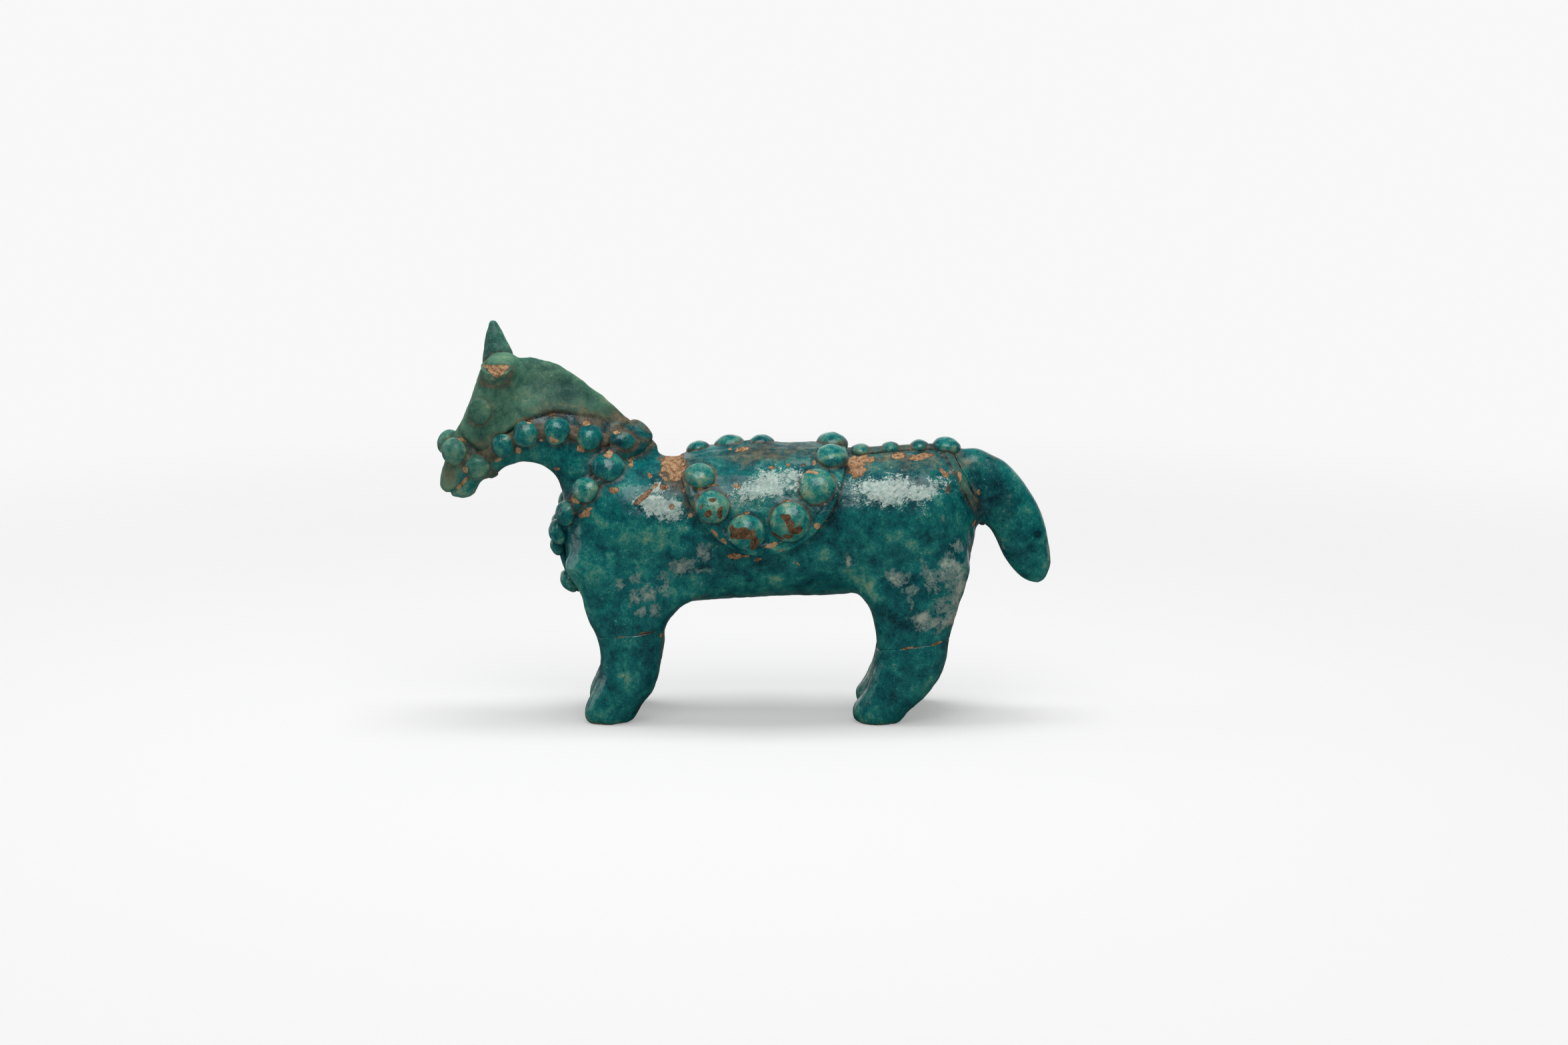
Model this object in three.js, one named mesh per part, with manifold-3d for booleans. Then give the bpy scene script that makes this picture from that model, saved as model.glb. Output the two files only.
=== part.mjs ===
// Glazed stonepaste figurine of a harnessed horse, hand-modelled from rolls, strips and pellets of clay.
// Lengths are in millimetres. Z is up, the horse looks along -X, and its left side is -Y.
import * as THREE from "three";
import { mergeVertices } from "three/addons/utils/BufferGeometryUtils.js";
import Module from "manifold-3d";

const wasm = await Module();
wasm.setup();

const CLAY_GAP = 0.3; // left between two pieces where one is seated on the other
const BLUNT_END = 0.3; // a rounded end stops this far short of a point

// Trunk, a thick roll with a bluff chest and rump
const CHEST_X = -53.5; // foremost point of the chest
const TRUNK_LENGTH = 122;
const BACK_HEIGHT = 78.2;
const BELLY_HEIGHT = 37.2;
const TRUNK_WIDTH = 39;
const CHEST_ROUND = 18; // length over which the chest rounds off
const RUMP_ROUND = 15;

// Legs, boot-shaped, with the toe pushed forward
const LEG_SPREAD = 25; // between the left and right leg centres at the sole
const FORE_LEG_SETBACK = 19; // from the chest to the middle of the fore legs
const HIND_LEG_SETIN = 19; // from the rump to the middle of the hind legs
const RIGHT_HIND_SETBACK = 1.2; // the right hind leg stands this much further back than the left
const LEG_THICKNESS = 15; // across the lower leg
const LEG_DEPTH = 20; // of the lower leg, along the horse
const FORE_BREAK_HEIGHT = 27.2; // where the lower fore leg is joined on
const HIND_BREAK_HEIGHT = 23.7;
const BREAK_SLOPE = THREE.MathUtils.degToRad(8); // the joints rise towards the tail
const SOLE_ROUND = 1.3; // radius of the edge round the sole

// Neck, a slab bent in an arch round the throat and pinched to a thin crest
const THROAT_DROP = 13; // from the back down to the middle of the throat's arch
const THROAT_REACH = 13.5; // from the chest forward to the middle of the arch
const THROAT_RADIUS = 12.5;
const NECK_DEPTH = 30.5; // from the throat to the crest, at the poll
const NECK_THICKNESS = 17;
const CREST_THICKNESS = 4.4;
const NECK_ROOT = -12; // where the fan of the neck starts in the chest, in degrees above the horizontal
const NECK_TIP = 160; // where it ends in the muzzle

// Head, a wedge that hangs from the poll
const HEAD_LENGTH = 39.4;
const HEAD_WIDTH = 15.6;
const HEAD_DEPTH = 14; // from the face to the jaw, at the eye
const HEAD_TILT = THREE.MathUtils.degToRad(24.6); // of the face from upright
const CROWN_ROUND = 5; // length over which the top of the head rounds off
const LIP_ROUND = 4;
const EAR_HEIGHT = 13.8;
const EAR_LENGTH = 9.6; // at the root, along the horse
const EAR_THICKNESS = 6.4;
const EAR_SPREAD = 10;
const STUMP_HEIGHT = 4.4; // what is left of the broken left ear, on its inner side
const STUMP_SLOPE = THREE.MathUtils.degToRad(36); // the broken face falls away to the side
const STUMP_NICK = 2.2; // depth of the nick in the broken face
const EYE_RADIUS = 3.4;
const EYE_HEIGHT = 1.2;
const MOUTH_OPENING = 1;
const MOUTH_DEPTH = 6;

// Tail, a flattened roll that arches out and down
const TAIL_REACH = 20.2; // from the rump to the middle of the tip
const TAIL_DROP = 38.5; // from the back down to the middle of the tip
const TAIL_DEPTH = 19; // at the root, seen from the side
const TAIL_THICKNESS = 11;
const TAIL_TIP_ROUND = 6;

// Saddle cloth, a strip hung over the back with a round flap on each side
const SADDLE_SETBACK = 59; // from the chest to the middle of the saddle
const SADDLE_LENGTH = 49;
const FLAP_DROP = 26.5; // from the back to the lower edge of a flap
const FLAP_CENTRE_RISE = 5; // the round of a flap is centred this far above the back
const CLOTH_THICKNESS = 2.3;
const FRONT_THICKNESS = 1.2; // of the cloth's front edge on the spine
const SEAT_RISE = 1.1; // extra thickness along the spine behind the front edge
const SEAT_RUN = 12; // how far back from the front edge the cloth has its full thickness

// Harness, flattened strips with pellets pressed on
const STRAP_WIDTH = 4.6;
const NARROW_STRAP_WIDTH = 3.8; // of the noseband and the loop round the tail
const STRAP_HEIGHT = 1.6;
const TAIL_LOOP_HEIGHT = 1.1; // of the loop round the root of the tail
const TAIL_LOOP_SETIN = 3; // from the rump in to the middle of that loop
const TAIL_LOOP_DROP = 10; // from the back down to it
const CRUPPER_SETIN = 7; // from the rump in to the hind end of the strip along the croup
const COLLAR_WIDTH = 6;
const COLLAR_HEIGHT = 2.2;
const COLLAR_SETBACK = 11.5; // from the chest back to the line that the collar goes round
const COLLAR_DROP = 0.665; // down to its lowest point, as a share of the trunk's depth
const PENDANT_DROP = 0.32; // of the strip that hangs from the collar, as such a share
const REIN_FRONT = 132; // where the reins start at the chin, in degrees of the fan of the neck
const REIN_BACK = 28;
const PELLET_RADIUS = 4; // of a middling pellet
const PELLET_RISE = 0.62; // height of a pellet as a share of its radius
const PELLET_SINK = 2; // how deep a pellet is pressed in at its middle

const BACKWARD = new THREE.Vector3(1, 0, 0);
const SIDEWAYS = new THREE.Vector3(0, 1, 0);
const UP = new THREE.Vector3(0, 0, 1);
const LEFT = -1;
const RIGHT = 1;
const RUMP_X = CHEST_X + TRUNK_LENGTH;
const TRUNK_AXIS = (BACK_HEIGHT + BELLY_HEIGHT) / 2;
const TRUNK_DEPTH = BACK_HEIGHT - BELLY_HEIGHT;
const SADDLE_X = CHEST_X + SADDLE_SETBACK;

// Smooth curve through rows of a position and one or more values. It gives the values at any position.
function curveThrough(rows) {
  const width = rows[0].length - 1;
  const places = rows.map((row) => row[0]);
  const values = rows.flatMap((row) => row.slice(1));
  const curve = new THREE.CubicInterpolant(places, values, width, new Array(width));
  return (place) => [...curve.evaluate(THREE.MathUtils.clamp(place, places[0], places.at(-1)))];
}

// Share of the full size at a distance from a rounded end
function rounded(distance, run, fullness) {
  const rest = THREE.MathUtils.clamp(1 - distance / run, 0, 1);
  return (1 - rest ** fullness) ** (1 / fullness);
}

// Distances from 0 to a length, closer together near both ends
function easedSteps(length, count) {
  return Array.from({ length: count + 1 }, (_, i) => (length * (1 - Math.cos((Math.PI * i) / count))) / 2);
}

function evenSteps(start, end, count) {
  return Array.from({ length: count + 1 }, (_, i) => start + ((end - start) * i) / count);
}

// Egg-shaped ring with half sizes across, upward and downward. A squareness of 2 is an ellipse.
function eggRing(centre, { across, up, halfAcross, halfUp, halfDown = halfUp, squareness = 2.2, count }) {
  return Array.from({ length: count }, (_, i) => {
    const angle = (2 * Math.PI * i) / count;
    const c = Math.cos(angle);
    const s = Math.sin(angle);
    const aside = halfAcross * Math.sign(c) * Math.abs(c) ** (2 / squareness);
    const above = (s > 0 ? halfUp : halfDown) * Math.sign(s) * Math.abs(s) ** (2 / squareness);
    return centre.clone().addScaledVector(across, aside).addScaledVector(up, above);
  });
}

function middleOf(points) {
  return points.reduce((sum, point) => sum.add(point), new THREE.Vector3()).divideScalar(points.length);
}

// The same rings moved out square to the skin over them, by an amount or by what a rule gives for each
// direction and place
function swell(rings, amount) {
  const amountFor = typeof amount === "function" ? amount : () => amount;
  const last = rings.length - 1;
  const middles = rings.map(middleOf);
  return rings.map((points, i) => {
    const before = rings[Math.max(0, i - 1)];
    const after = rings[Math.min(last, i + 1)];
    const endward = middles[i].clone().sub(middles[i === 0 ? 1 : i - 1]).normalize();
    const isEnd = i === 0 || i === last;
    return points.map((point, j) => {
      const onward = after[j].clone().sub(before[j]);
      const around = points[(j + 1) % points.length].clone().sub(points.at(j - 1));
      const normal = around.cross(onward).normalize();
      if (normal.dot(point.clone().sub(middles[i])) < 0) normal.negate();
      const direction = isEnd ? normal.clone().add(endward) : normal;
      return point.clone().addScaledVector(direction, amountFor(normal, point));
    });
  });
}

// Solid from points and triangles, turned so that its faces point out
function solidOf(points, triangles) {
  const spans = triangles.map(([a, b, c]) => points[a].dot(points[b].clone().cross(points[c])));
  const volume = spans.reduce((sum, span) => sum + span, 0);
  const outward = volume > 0 ? triangles : triangles.map(([a, b, c]) => [a, c, b]);
  return new wasm.Manifold(
    new wasm.Mesh({
      numProp: 3,
      vertProperties: new Float32Array(points.flatMap((point) => point.toArray())),
      triVerts: new Uint32Array(outward.flat()),
    }),
  );
}

// Skin over rings that have the same number of points, closed at both ends or joined in a loop
function loft(rings, isLoop = false) {
  const count = rings[0].length;
  const points = rings.flat();
  const triangles = [];
  const spans = isLoop ? rings.length : rings.length - 1;
  for (let i = 0; i < spans; i++) {
    const here = i * count;
    const next = ((i + 1) % rings.length) * count;
    for (let j = 0; j < count; j++) {
      const k = (j + 1) % count;
      triangles.push([here + j, here + k, next + j], [next + j, here + k, next + k]);
    }
  }
  if (!isLoop) {
    for (const start of [0, (rings.length - 1) * count]) {
      points.push(middleOf(points.slice(start, start + count)));
      for (let j = 0; j < count; j++) {
        const edge = [start + j, start + ((j + 1) % count)];
        if (start === 0) edge.reverse();
        triangles.push([points.length - 1, ...edge]);
      }
    }
  }
  return solidOf(points, triangles);
}

// Solid from a three.js geometry, with its shared corners merged
function solidFrom(geometry) {
  const bare = new THREE.BufferGeometry();
  bare.setAttribute("position", geometry.getAttribute("position"));
  bare.setIndex(geometry.index);
  const merged = mergeVertices(bare, 1e-3);
  const places = merged.getAttribute("position");
  const pointAt = (_, i) => new THREE.Vector3().fromBufferAttribute(places, i);
  const points = Array.from({ length: places.count }, pointAt);
  const triangles = [];
  for (let i = 0; i < merged.index.count; i += 3) {
    const corners = [0, 1, 2].map((j) => merged.index.getX(i + j));
    if (new Set(corners).size === 3) triangles.push(corners);
  }
  return solidOf(points, triangles);
}

// The largest body of a solid, without the crumbs that a cut leaves
function mainBody(solid) {
  return solid.decompose().reduce((best, body) => (body.volume() > best.volume() ? body : best));
}

function geometryOf(solid) {
  const { vertProperties, triVerts } = solid.getMesh();
  const geometry = new THREE.BufferGeometry();
  geometry.setAttribute("position", new THREE.BufferAttribute(new Float32Array(vertProperties), 3));
  geometry.setIndex(new THREE.BufferAttribute(new Uint32Array(triVerts), 1));
  geometry.computeVertexNormals();
  return geometry;
}

// Where a feeler that comes in towards a target, from some way off, first meets a surface
const FAR_OFF = 2 * TRUNK_LENGTH;
const feeler = new THREE.Raycaster();
function feel(surface, target, outward, wayOff) {
  const start = target.clone().addScaledVector(outward, wayOff);
  feeler.set(start, outward.clone().negate());
  return feeler.intersectObject(surface)[0]?.point ?? target.clone();
}

// Where a pellet or a strip of a given half width rests: the point, and the mean direction of the surface
function restOn(surface, target, direction, halfWidth, wayOff = FAR_OFF) {
  const outward = direction.clone().normalize();
  const a = (Math.abs(outward.z) < 0.9 ? UP : BACKWARD).clone().cross(outward).normalize();
  const b = outward.clone().cross(a);
  const [east, north, west, south] = [a, b, a.clone().negate(), b.clone().negate()].map((shift) =>
    feel(surface, target.clone().addScaledVector(shift, halfWidth), outward, wayOff),
  );
  const normal = east.sub(west).cross(north.sub(south)).normalize();
  return { point: feel(surface, target, outward, wayOff), normal };
}

// Trunk

// Share of the length, and shares of the width, of the height above the axis and of the depth below it
const TRUNK_FORM = curveThrough([
  [0, 1, 1, 1.04],
  [0.2, 1, 0.97, 1.08],
  [0.36, 0.97, 0.98, 1.12],
  [0.5, 0.95, 1, 1.04],
  [0.66, 0.97, 1, 1.025],
  [0.82, 1.02, 1.06, 0.98],
  [0.92, 1.01, 1.09, 0.98],
  [1, 0.98, 1.09, 1],
]);

function trunkRings() {
  return easedSteps(TRUNK_LENGTH, 20).map((along) => {
    const back = THREE.MathUtils.clamp(along, BLUNT_END, TRUNK_LENGTH - BLUNT_END);
    const ahead = TRUNK_LENGTH - back;
    const [wide, high, deep] = TRUNK_FORM(back / TRUNK_LENGTH);
    const top = rounded(back, CHEST_ROUND, 2.1) * rounded(ahead, 0.8 * RUMP_ROUND, 2.3);
    const bottom = rounded(back, 0.47 * CHEST_ROUND, 2.5) * rounded(ahead, 0.8 * RUMP_ROUND, 2.2);
    const width = rounded(back, 1.2 * CHEST_ROUND, 2.2) * rounded(ahead, 1.25 * RUMP_ROUND, 2.2);
    return eggRing(new THREE.Vector3(CHEST_X + along, 0, TRUNK_AXIS), {
      across: SIDEWAYS,
      up: UP,
      halfAcross: (TRUNK_WIDTH / 2) * wide * width,
      halfUp: (BACK_HEIGHT - TRUNK_AXIS) * high * top,
      halfDown: (TRUNK_AXIS - BELLY_HEIGHT) * deep * bottom,
      squareness: 2.25,
      count: 24,
    });
  });
}

// Legs: share of the hip's height, forward lean and half length as shares of the lower leg's half depth,
// and shares of the thickness and the spread
const FORE_LEG_FORM = curveThrough([
  [0, 0.52, 0.67, 0.84, 1],
  [0.08, 0.44, 0.82, 0.93, 1],
  [0.17, 0.12, 0.9, 0.97, 1],
  [0.28, -0.08, 0.89, 0.98, 1],
  [0.39, -0.1, 0.94, 1, 1],
  [0.46, -0.07, 1.03, 1.03, 1],
  [0.52, -0.03, 1.16, 1.06, 0.98],
  [0.57, -0.07, 1.32, 1.08, 0.96],
  [0.62, -0.24, 1.56, 1.1, 0.94],
  [0.68, -0.45, 1.85, 1.1, 0.92],
  [0.8, 0.12, 1.78, 1.12, 0.88],
  [1, 0.06, 1.35, 1.04, 0.74],
]);
const HIND_LEG_FORM = curveThrough([
  [0, 0.98, 0.66, 0.86, 1],
  [0.065, 0.9, 0.84, 0.95, 1],
  [0.17, 0.39, 0.98, 1, 1],
  [0.28, 0.06, 1.04, 1.02, 1],
  [0.44, -0.08, 1.1, 1.05, 1],
  [0.54, -0.1, 1.21, 1.1, 0.97],
  [0.6, -0.09, 1.31, 1.14, 0.95],
  [0.67, 0.02, 1.57, 1.15, 0.93],
  [0.78, -0.14, 1.62, 1.18, 0.88],
  [1, -0.08, 1.38, 1.1, 0.72],
]);
const FORE_LEG = {
  form: FORE_LEG_FORM,
  x: CHEST_X + FORE_LEG_SETBACK,
  breakHeight: FORE_BREAK_HEIGHT,
  rightSetback: 0,
};
const HIND_LEG = {
  form: HIND_LEG_FORM,
  x: RUMP_X - HIND_LEG_SETIN,
  breakHeight: HIND_BREAK_HEIGHT,
  rightSetback: RIGHT_HIND_SETBACK,
};
const LEG_LEVELS = [0.07, 0.15, 0.24, 0.34, 0.44, 0.53, 0.6, 0.67, 0.8, 1];

function legRings(leg, side) {
  const levels = [0, 0.3 * SOLE_ROUND, SOLE_ROUND, ...LEG_LEVELS.map((share) => share * TRUNK_AXIS)];
  return levels.map((height) => {
    const [lean, halfLength, thickness, spread] = leg.form(height / TRUNK_AXIS);
    const inset = SOLE_ROUND * (1 - rounded(height, SOLE_ROUND, 2));
    const x = leg.x - (lean * LEG_DEPTH) / 2 + (side === RIGHT ? leg.rightSetback : 0);
    return eggRing(new THREE.Vector3(x, (side * LEG_SPREAD * spread) / 2, height), {
      across: SIDEWAYS,
      up: BACKWARD,
      halfAcross: (LEG_THICKNESS / 2) * thickness - inset,
      halfUp: (halfLength * LEG_DEPTH) / 2 - inset,
      count: 14,
    });
  });
}

// Everything above the sloping joint of a leg, or everything below it
function legSlab(leg, height, isAbove) {
  const size = 2 * BACK_HEIGHT;
  const slab = new THREE.BoxGeometry(size, size, size);
  slab.translate(0, 0, isAbove ? size / 2 : -size / 2);
  slab.rotateY(-BREAK_SLOPE);
  slab.translate(leg.x, 0, height);
  return solidFrom(slab);
}

function trunkSolid(thicker) {
  return [FORE_LEG, HIND_LEG].reduce(
    (solid, leg) => {
      const slab = legSlab(leg, leg.breakHeight - thicker, true);
      return [LEFT, RIGHT].reduce(
        (sum, side) => sum.add(loft(swell(legRings(leg, side), thicker)).intersect(slab)),
        solid,
      );
    },
    loft(swell(trunkRings(), thicker)),
  );
}

function lowerLegSolid(leg, side) {
  return loft(legRings(leg, side)).intersect(legSlab(leg, leg.breakHeight - CLAY_GAP, false));
}

// Neck: a fan about the middle of the throat's arch, with the angle in degrees and shares of the
// throat's radius, the neck's depth and its thickness
const THROAT = new THREE.Vector3(CHEST_X - THROAT_REACH, 0, BACK_HEIGHT - THROAT_DROP);
const NECK_FORM = curveThrough([
  [NECK_ROOT, 1.1, 0.86, 1.28],
  [10, 1.04, 1.03, 1.42],
  [21, 1.05, 1, 1.37],
  [31, 1.06, 0.93, 1.29],
  [42, 1.05, 0.89, 1.17],
  [55, 1.02, 0.89, 1.07],
  [68, 0.955, 0.96, 1],
  [84, 0.895, 1.03, 0.93],
  [96, 0.865, 1.015, 0.87],
  [108, 0.85, 0.83, 0.81],
  [122, 0.84, 0.53, 0.75],
  [140, 0.9, 0.31, 0.66],
  [NECK_TIP, 1.1, 0.16, 0.5],
]);

function fanPoint(degrees, radius) {
  const angle = THREE.MathUtils.degToRad(degrees);
  return new THREE.Vector3(Math.cos(angle), 0, Math.sin(angle)).multiplyScalar(radius).add(THROAT);
}

function neckRings() {
  return evenSteps(NECK_ROOT, NECK_TIP, 16).map((degrees) => {
    const [throat, depth, thickness] = NECK_FORM(degrees);
    const half = (NECK_DEPTH * depth) / 2;
    const centre = fanPoint(degrees, THROAT_RADIUS * throat + half);
    const outward = centre.clone().sub(THROAT).normalize();
    const width = NECK_THICKNESS * thickness;
    const crest = Math.min(1, CREST_THICKNESS / width);
    const points = eggRing(centre, {
      across: SIDEWAYS,
      up: outward,
      halfAcross: width / 2,
      halfUp: half,
      squareness: 2.4,
      count: 20,
    });
    for (const point of points) {
      const rise = point.clone().sub(centre).dot(outward) / half;
      point.y *= THREE.MathUtils.lerp(1, crest, THREE.MathUtils.smoothstep(rise, -0.5, 1.02));
    }
    return points;
  });
}

// Head: share of the way from the poll to the lips, shares of the depth towards the face and towards the
// jaw, and share of the width
const POLL = fanPoint(96.8, THROAT_RADIUS + 0.83 * NECK_DEPTH);
const LIPWARD = new THREE.Vector3(-Math.sin(HEAD_TILT), 0, -Math.cos(HEAD_TILT));
const FACEWARD = new THREE.Vector3(-Math.cos(HEAD_TILT), 0, Math.sin(HEAD_TILT));
const HEAD_TOP = -0.15;
const HEAD_FORM = curveThrough([
  [HEAD_TOP, 0.3, 0.357, 0.6],
  [-0.04, 0.443, 0.5, 0.84],
  [0.06, 0.45, 0.543, 0.94],
  [0.22, 0.39, 0.586, 1],
  [0.36, 0.357, 0.529, 0.96],
  [0.5, 0.375, 0.371, 0.85],
  [0.63, 0.4, 0.336, 0.74],
  [0.78, 0.35, 0.43, 0.7],
  [0.9, 0.305, 0.51, 0.67],
  [1, 0.271, 0.46, 0.58],
]);

// A place in the head: share of the way from poll to lips, share of the depth towards the face, and
// distance to the right
function headPoint(share, faceward, aside) {
  const place = POLL.clone().addScaledVector(LIPWARD, HEAD_LENGTH * share);
  return place.addScaledVector(FACEWARD, HEAD_DEPTH * faceward).addScaledVector(SIDEWAYS, aside);
}

function headRings() {
  return easedSteps(1 - HEAD_TOP, 13).map((along) => {
    const [face, jaw, width] = HEAD_FORM(HEAD_TOP + along);
    const crown = rounded(along * HEAD_LENGTH + BLUNT_END, CROWN_ROUND, 2);
    const lips = rounded((1 - HEAD_TOP - along) * HEAD_LENGTH + BLUNT_END, LIP_ROUND, 2.4);
    return eggRing(headPoint(HEAD_TOP + along, 0, 0), {
      across: SIDEWAYS,
      up: FACEWARD,
      halfAcross: (HEAD_WIDTH / 2) * width * crown * lips,
      halfUp: HEAD_DEPTH * face * crown * lips,
      halfDown: HEAD_DEPTH * jaw * crown * lips,
      count: 16,
    });
  });
}

// Mouth, a slit from the tip of the muzzle up between the lips
function mouthSlit() {
  const corner = headPoint(1, -0.114, 0).addScaledVector(LIPWARD, -MOUTH_DEPTH);
  const outside = headPoint(1, 0.07, 0).addScaledVector(LIPWARD, MOUTH_DEPTH / 2);
  const onward = outside.clone().sub(corner);
  const slit = new THREE.BoxGeometry(MOUTH_OPENING, 2 * HEAD_WIDTH, onward.length());
  slit.applyQuaternion(new THREE.Quaternion().setFromUnitVectors(UP, onward.clone().normalize()));
  const middle = corner.addScaledVector(onward, 0.5);
  slit.translate(middle.x, middle.y, middle.z);
  return solidFrom(slit);
}

// Ears: share of the height, share of the root's size, and lean towards the face as a share of the height
const EAR_FORM = curveThrough([
  [-0.4, 1.05, 0],
  [0, 1, 0],
  [0.3, 0.9, 0.02],
  [0.65, 0.58, 0.072],
  [0.93, 0.31, 0.118],
  [1, 0.15, 0.128],
]);
const EAR_SPLAY = 0.094; // lean away from the other ear, as such a share

function earRoot(side) {
  return headPoint(0, 0.107, (side * EAR_SPREAD) / 2);
}

function earSolid(side, height) {
  const rings = evenSteps(-0.25, height / EAR_HEIGHT, 5).map((share) => {
    const [size, lean] = EAR_FORM(share);
    const shift = new THREE.Vector3(-lean, side * EAR_SPLAY * share, share).multiplyScalar(EAR_HEIGHT);
    return eggRing(earRoot(side).add(shift), {
      across: SIDEWAYS,
      up: BACKWARD,
      halfAcross: (EAR_THICKNESS / 2) * size,
      halfUp: (EAR_LENGTH / 2) * size,
      squareness: 2,
      count: 10,
    });
  });
  return mainBody(loft(rings).subtract(headRoom).subtract(neckRoom));
}

// What the break took from the left ear: all above a face that slopes down to the side, and a nick in it
function brokenOff() {
  const lost = new THREE.BoxGeometry(2 * EAR_LENGTH, 4 * EAR_THICKNESS, EAR_HEIGHT);
  lost.translate(0, 0, EAR_HEIGHT / 2);
  lost.rotateX(STUMP_SLOPE);
  const nick = new THREE.CylinderGeometry(STUMP_NICK, STUMP_NICK, EAR_THICKNESS, 3);
  nick.rotateX(STUMP_SLOPE);
  nick.translate(-0.15 * EAR_LENGTH, -EAR_THICKNESS / 2, -0.3 * STUMP_HEIGHT);
  const inner = earRoot(LEFT).add(new THREE.Vector3(0, EAR_THICKNESS / 2, STUMP_HEIGHT));
  return solidFrom(lost).add(solidFrom(nick)).translate(inner.toArray());
}

// Tail: shares of its reach and its drop, then the share of the way with shares of its depth and thickness
const TAIL_ROUTE = new THREE.CatmullRomCurve3(
  [
    [-0.42, 0.21],
    [-0.02, 0.19],
    [0.23, 0.28],
    [0.49, 0.41],
    [0.64, 0.555],
    [0.755, 0.725],
    [0.9, 0.9],
    [1, 1],
  ].map(([back, drop]) => new THREE.Vector3(RUMP_X + TAIL_REACH * back, 0, BACK_HEIGHT - TAIL_DROP * drop)),
  false,
  "centripetal",
);
const TAIL_FORM = curveThrough([
  [0, 0.84, 0.9],
  [0.17, 1, 1],
  [0.31, 1, 1],
  [0.46, 0.88, 0.92],
  [0.6, 0.82, 0.85],
  [0.75, 0.74, 0.76],
  [0.91, 0.56, 0.66],
  [1, 0.4, 0.55],
]);

function tailRings() {
  return evenSteps(0, 1, 12).map((share) => {
    const onward = TAIL_ROUTE.getTangentAt(share);
    const [depth, thickness] = TAIL_FORM(share);
    const tip = rounded((1 - share) * TAIL_ROUTE.getLength() + BLUNT_END, TAIL_TIP_ROUND, 2);
    return eggRing(TAIL_ROUTE.getPointAt(share), {
      across: SIDEWAYS,
      up: onward.clone().cross(SIDEWAYS),
      halfAcross: (TAIL_THICKNESS / 2) * thickness * tip,
      halfUp: (TAIL_DEPTH / 2) * depth * tip,
      count: 14,
    });
  });
}

// Body, on which the harness lies
const trunk = trunkSolid(0);
const trunkRoom = trunkSolid(CLAY_GAP);
const headForm = loft(headRings());
const headRoom = loft(swell(headRings(), CLAY_GAP));
const neckForm = loft(neckRings());
const neckRoom = loft(swell(neckRings(), CLAY_GAP));
const tailForm = loft(tailRings());
const tailRoom = loft(swell(tailRings(), CLAY_GAP));
const bodyRoom = trunkRoom.add(headRoom).add(neckRoom).add(tailRoom);
const bodySkin = new THREE.Mesh(geometryOf(trunk.add(headForm).add(neckForm).add(tailForm)));

// Each piece with the room that what lies over it must leave
const withRoom = (make) => ({ solid: make(0), room: make(CLAY_GAP) });

// A strip of clay along a line of resting places, half sunk in what it lies on. A place may be broader or
// fuller.
function stripAlong(rests, width, height, isLoop = false) {
  const count = rests.length;
  const rings = rests.map(({ point, normal, breadth = 1, fullness = 1 }, i) => {
    const before = isLoop ? rests.at(i - 1) : rests[Math.max(0, i - 1)];
    const after = isLoop ? rests[(i + 1) % count] : rests[Math.min(count - 1, i + 1)];
    const onward = after.point.clone().sub(before.point).normalize();
    const across = onward.clone().cross(normal).normalize();
    const up = across.clone().cross(onward);
    const size = { halfAcross: (breadth * width) / 2, halfUp: fullness * height };
    return eggRing(point, { across, up, ...size, count: 6 });
  });
  return loft(rings, isLoop);
}

// Resting places round the body, by the degrees from the top to the right. The middle that the line goes
// round and the direction of its top may change on the way.
function lineRound(middleAt, topwardAt, wayOff) {
  return (degrees, halfWidth) => {
    const angle = THREE.MathUtils.degToRad(degrees);
    const outward = topwardAt(angle).clone().multiplyScalar(Math.cos(angle));
    outward.addScaledVector(SIDEWAYS, Math.sin(angle));
    return restOn(bodySkin, middleAt(angle), outward, halfWidth, wayOff);
  };
}

function roundSteps(count) {
  return evenSteps(0, 360, count).slice(0, -1);
}

// Collar round the foot of the neck, with a strip that hangs down the chest. Its fall goes with the
// degrees from the crest.
const COLLAR_FALL = curveThrough([
  [0, 0],
  [55, 0.04],
  [78, 0.17],
  [92, 0.21],
  [108, 0.34],
  [135, 0.6],
  [158, 0.81],
  [180, 1],
]);
const CRESTWARD = new THREE.Vector3(0.86, 0, 0.51).normalize();

function degreesFromTop(angle) {
  return THREE.MathUtils.radToDeg(Math.acos(Math.cos(angle)));
}

const collarRest = lineRound(
  (angle) => {
    const [fall] = COLLAR_FALL(degreesFromTop(angle));
    return new THREE.Vector3(CHEST_X + COLLAR_SETBACK, 0, BACK_HEIGHT - COLLAR_DROP * TRUNK_DEPTH * fall);
  },
  (angle) => (Math.cos(angle) > 0 ? CRESTWARD : BACKWARD),
  FAR_OFF,
);

// On the chest, a share of the trunk's depth below the collar
function chestRest(drop, halfWidth) {
  const inside = new THREE.Vector3(RUMP_X, 0, BACK_HEIGHT - (COLLAR_DROP + drop) * TRUNK_DEPTH);
  return restOn(bodySkin, inside, BACKWARD.clone().negate(), halfWidth);
}

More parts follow.
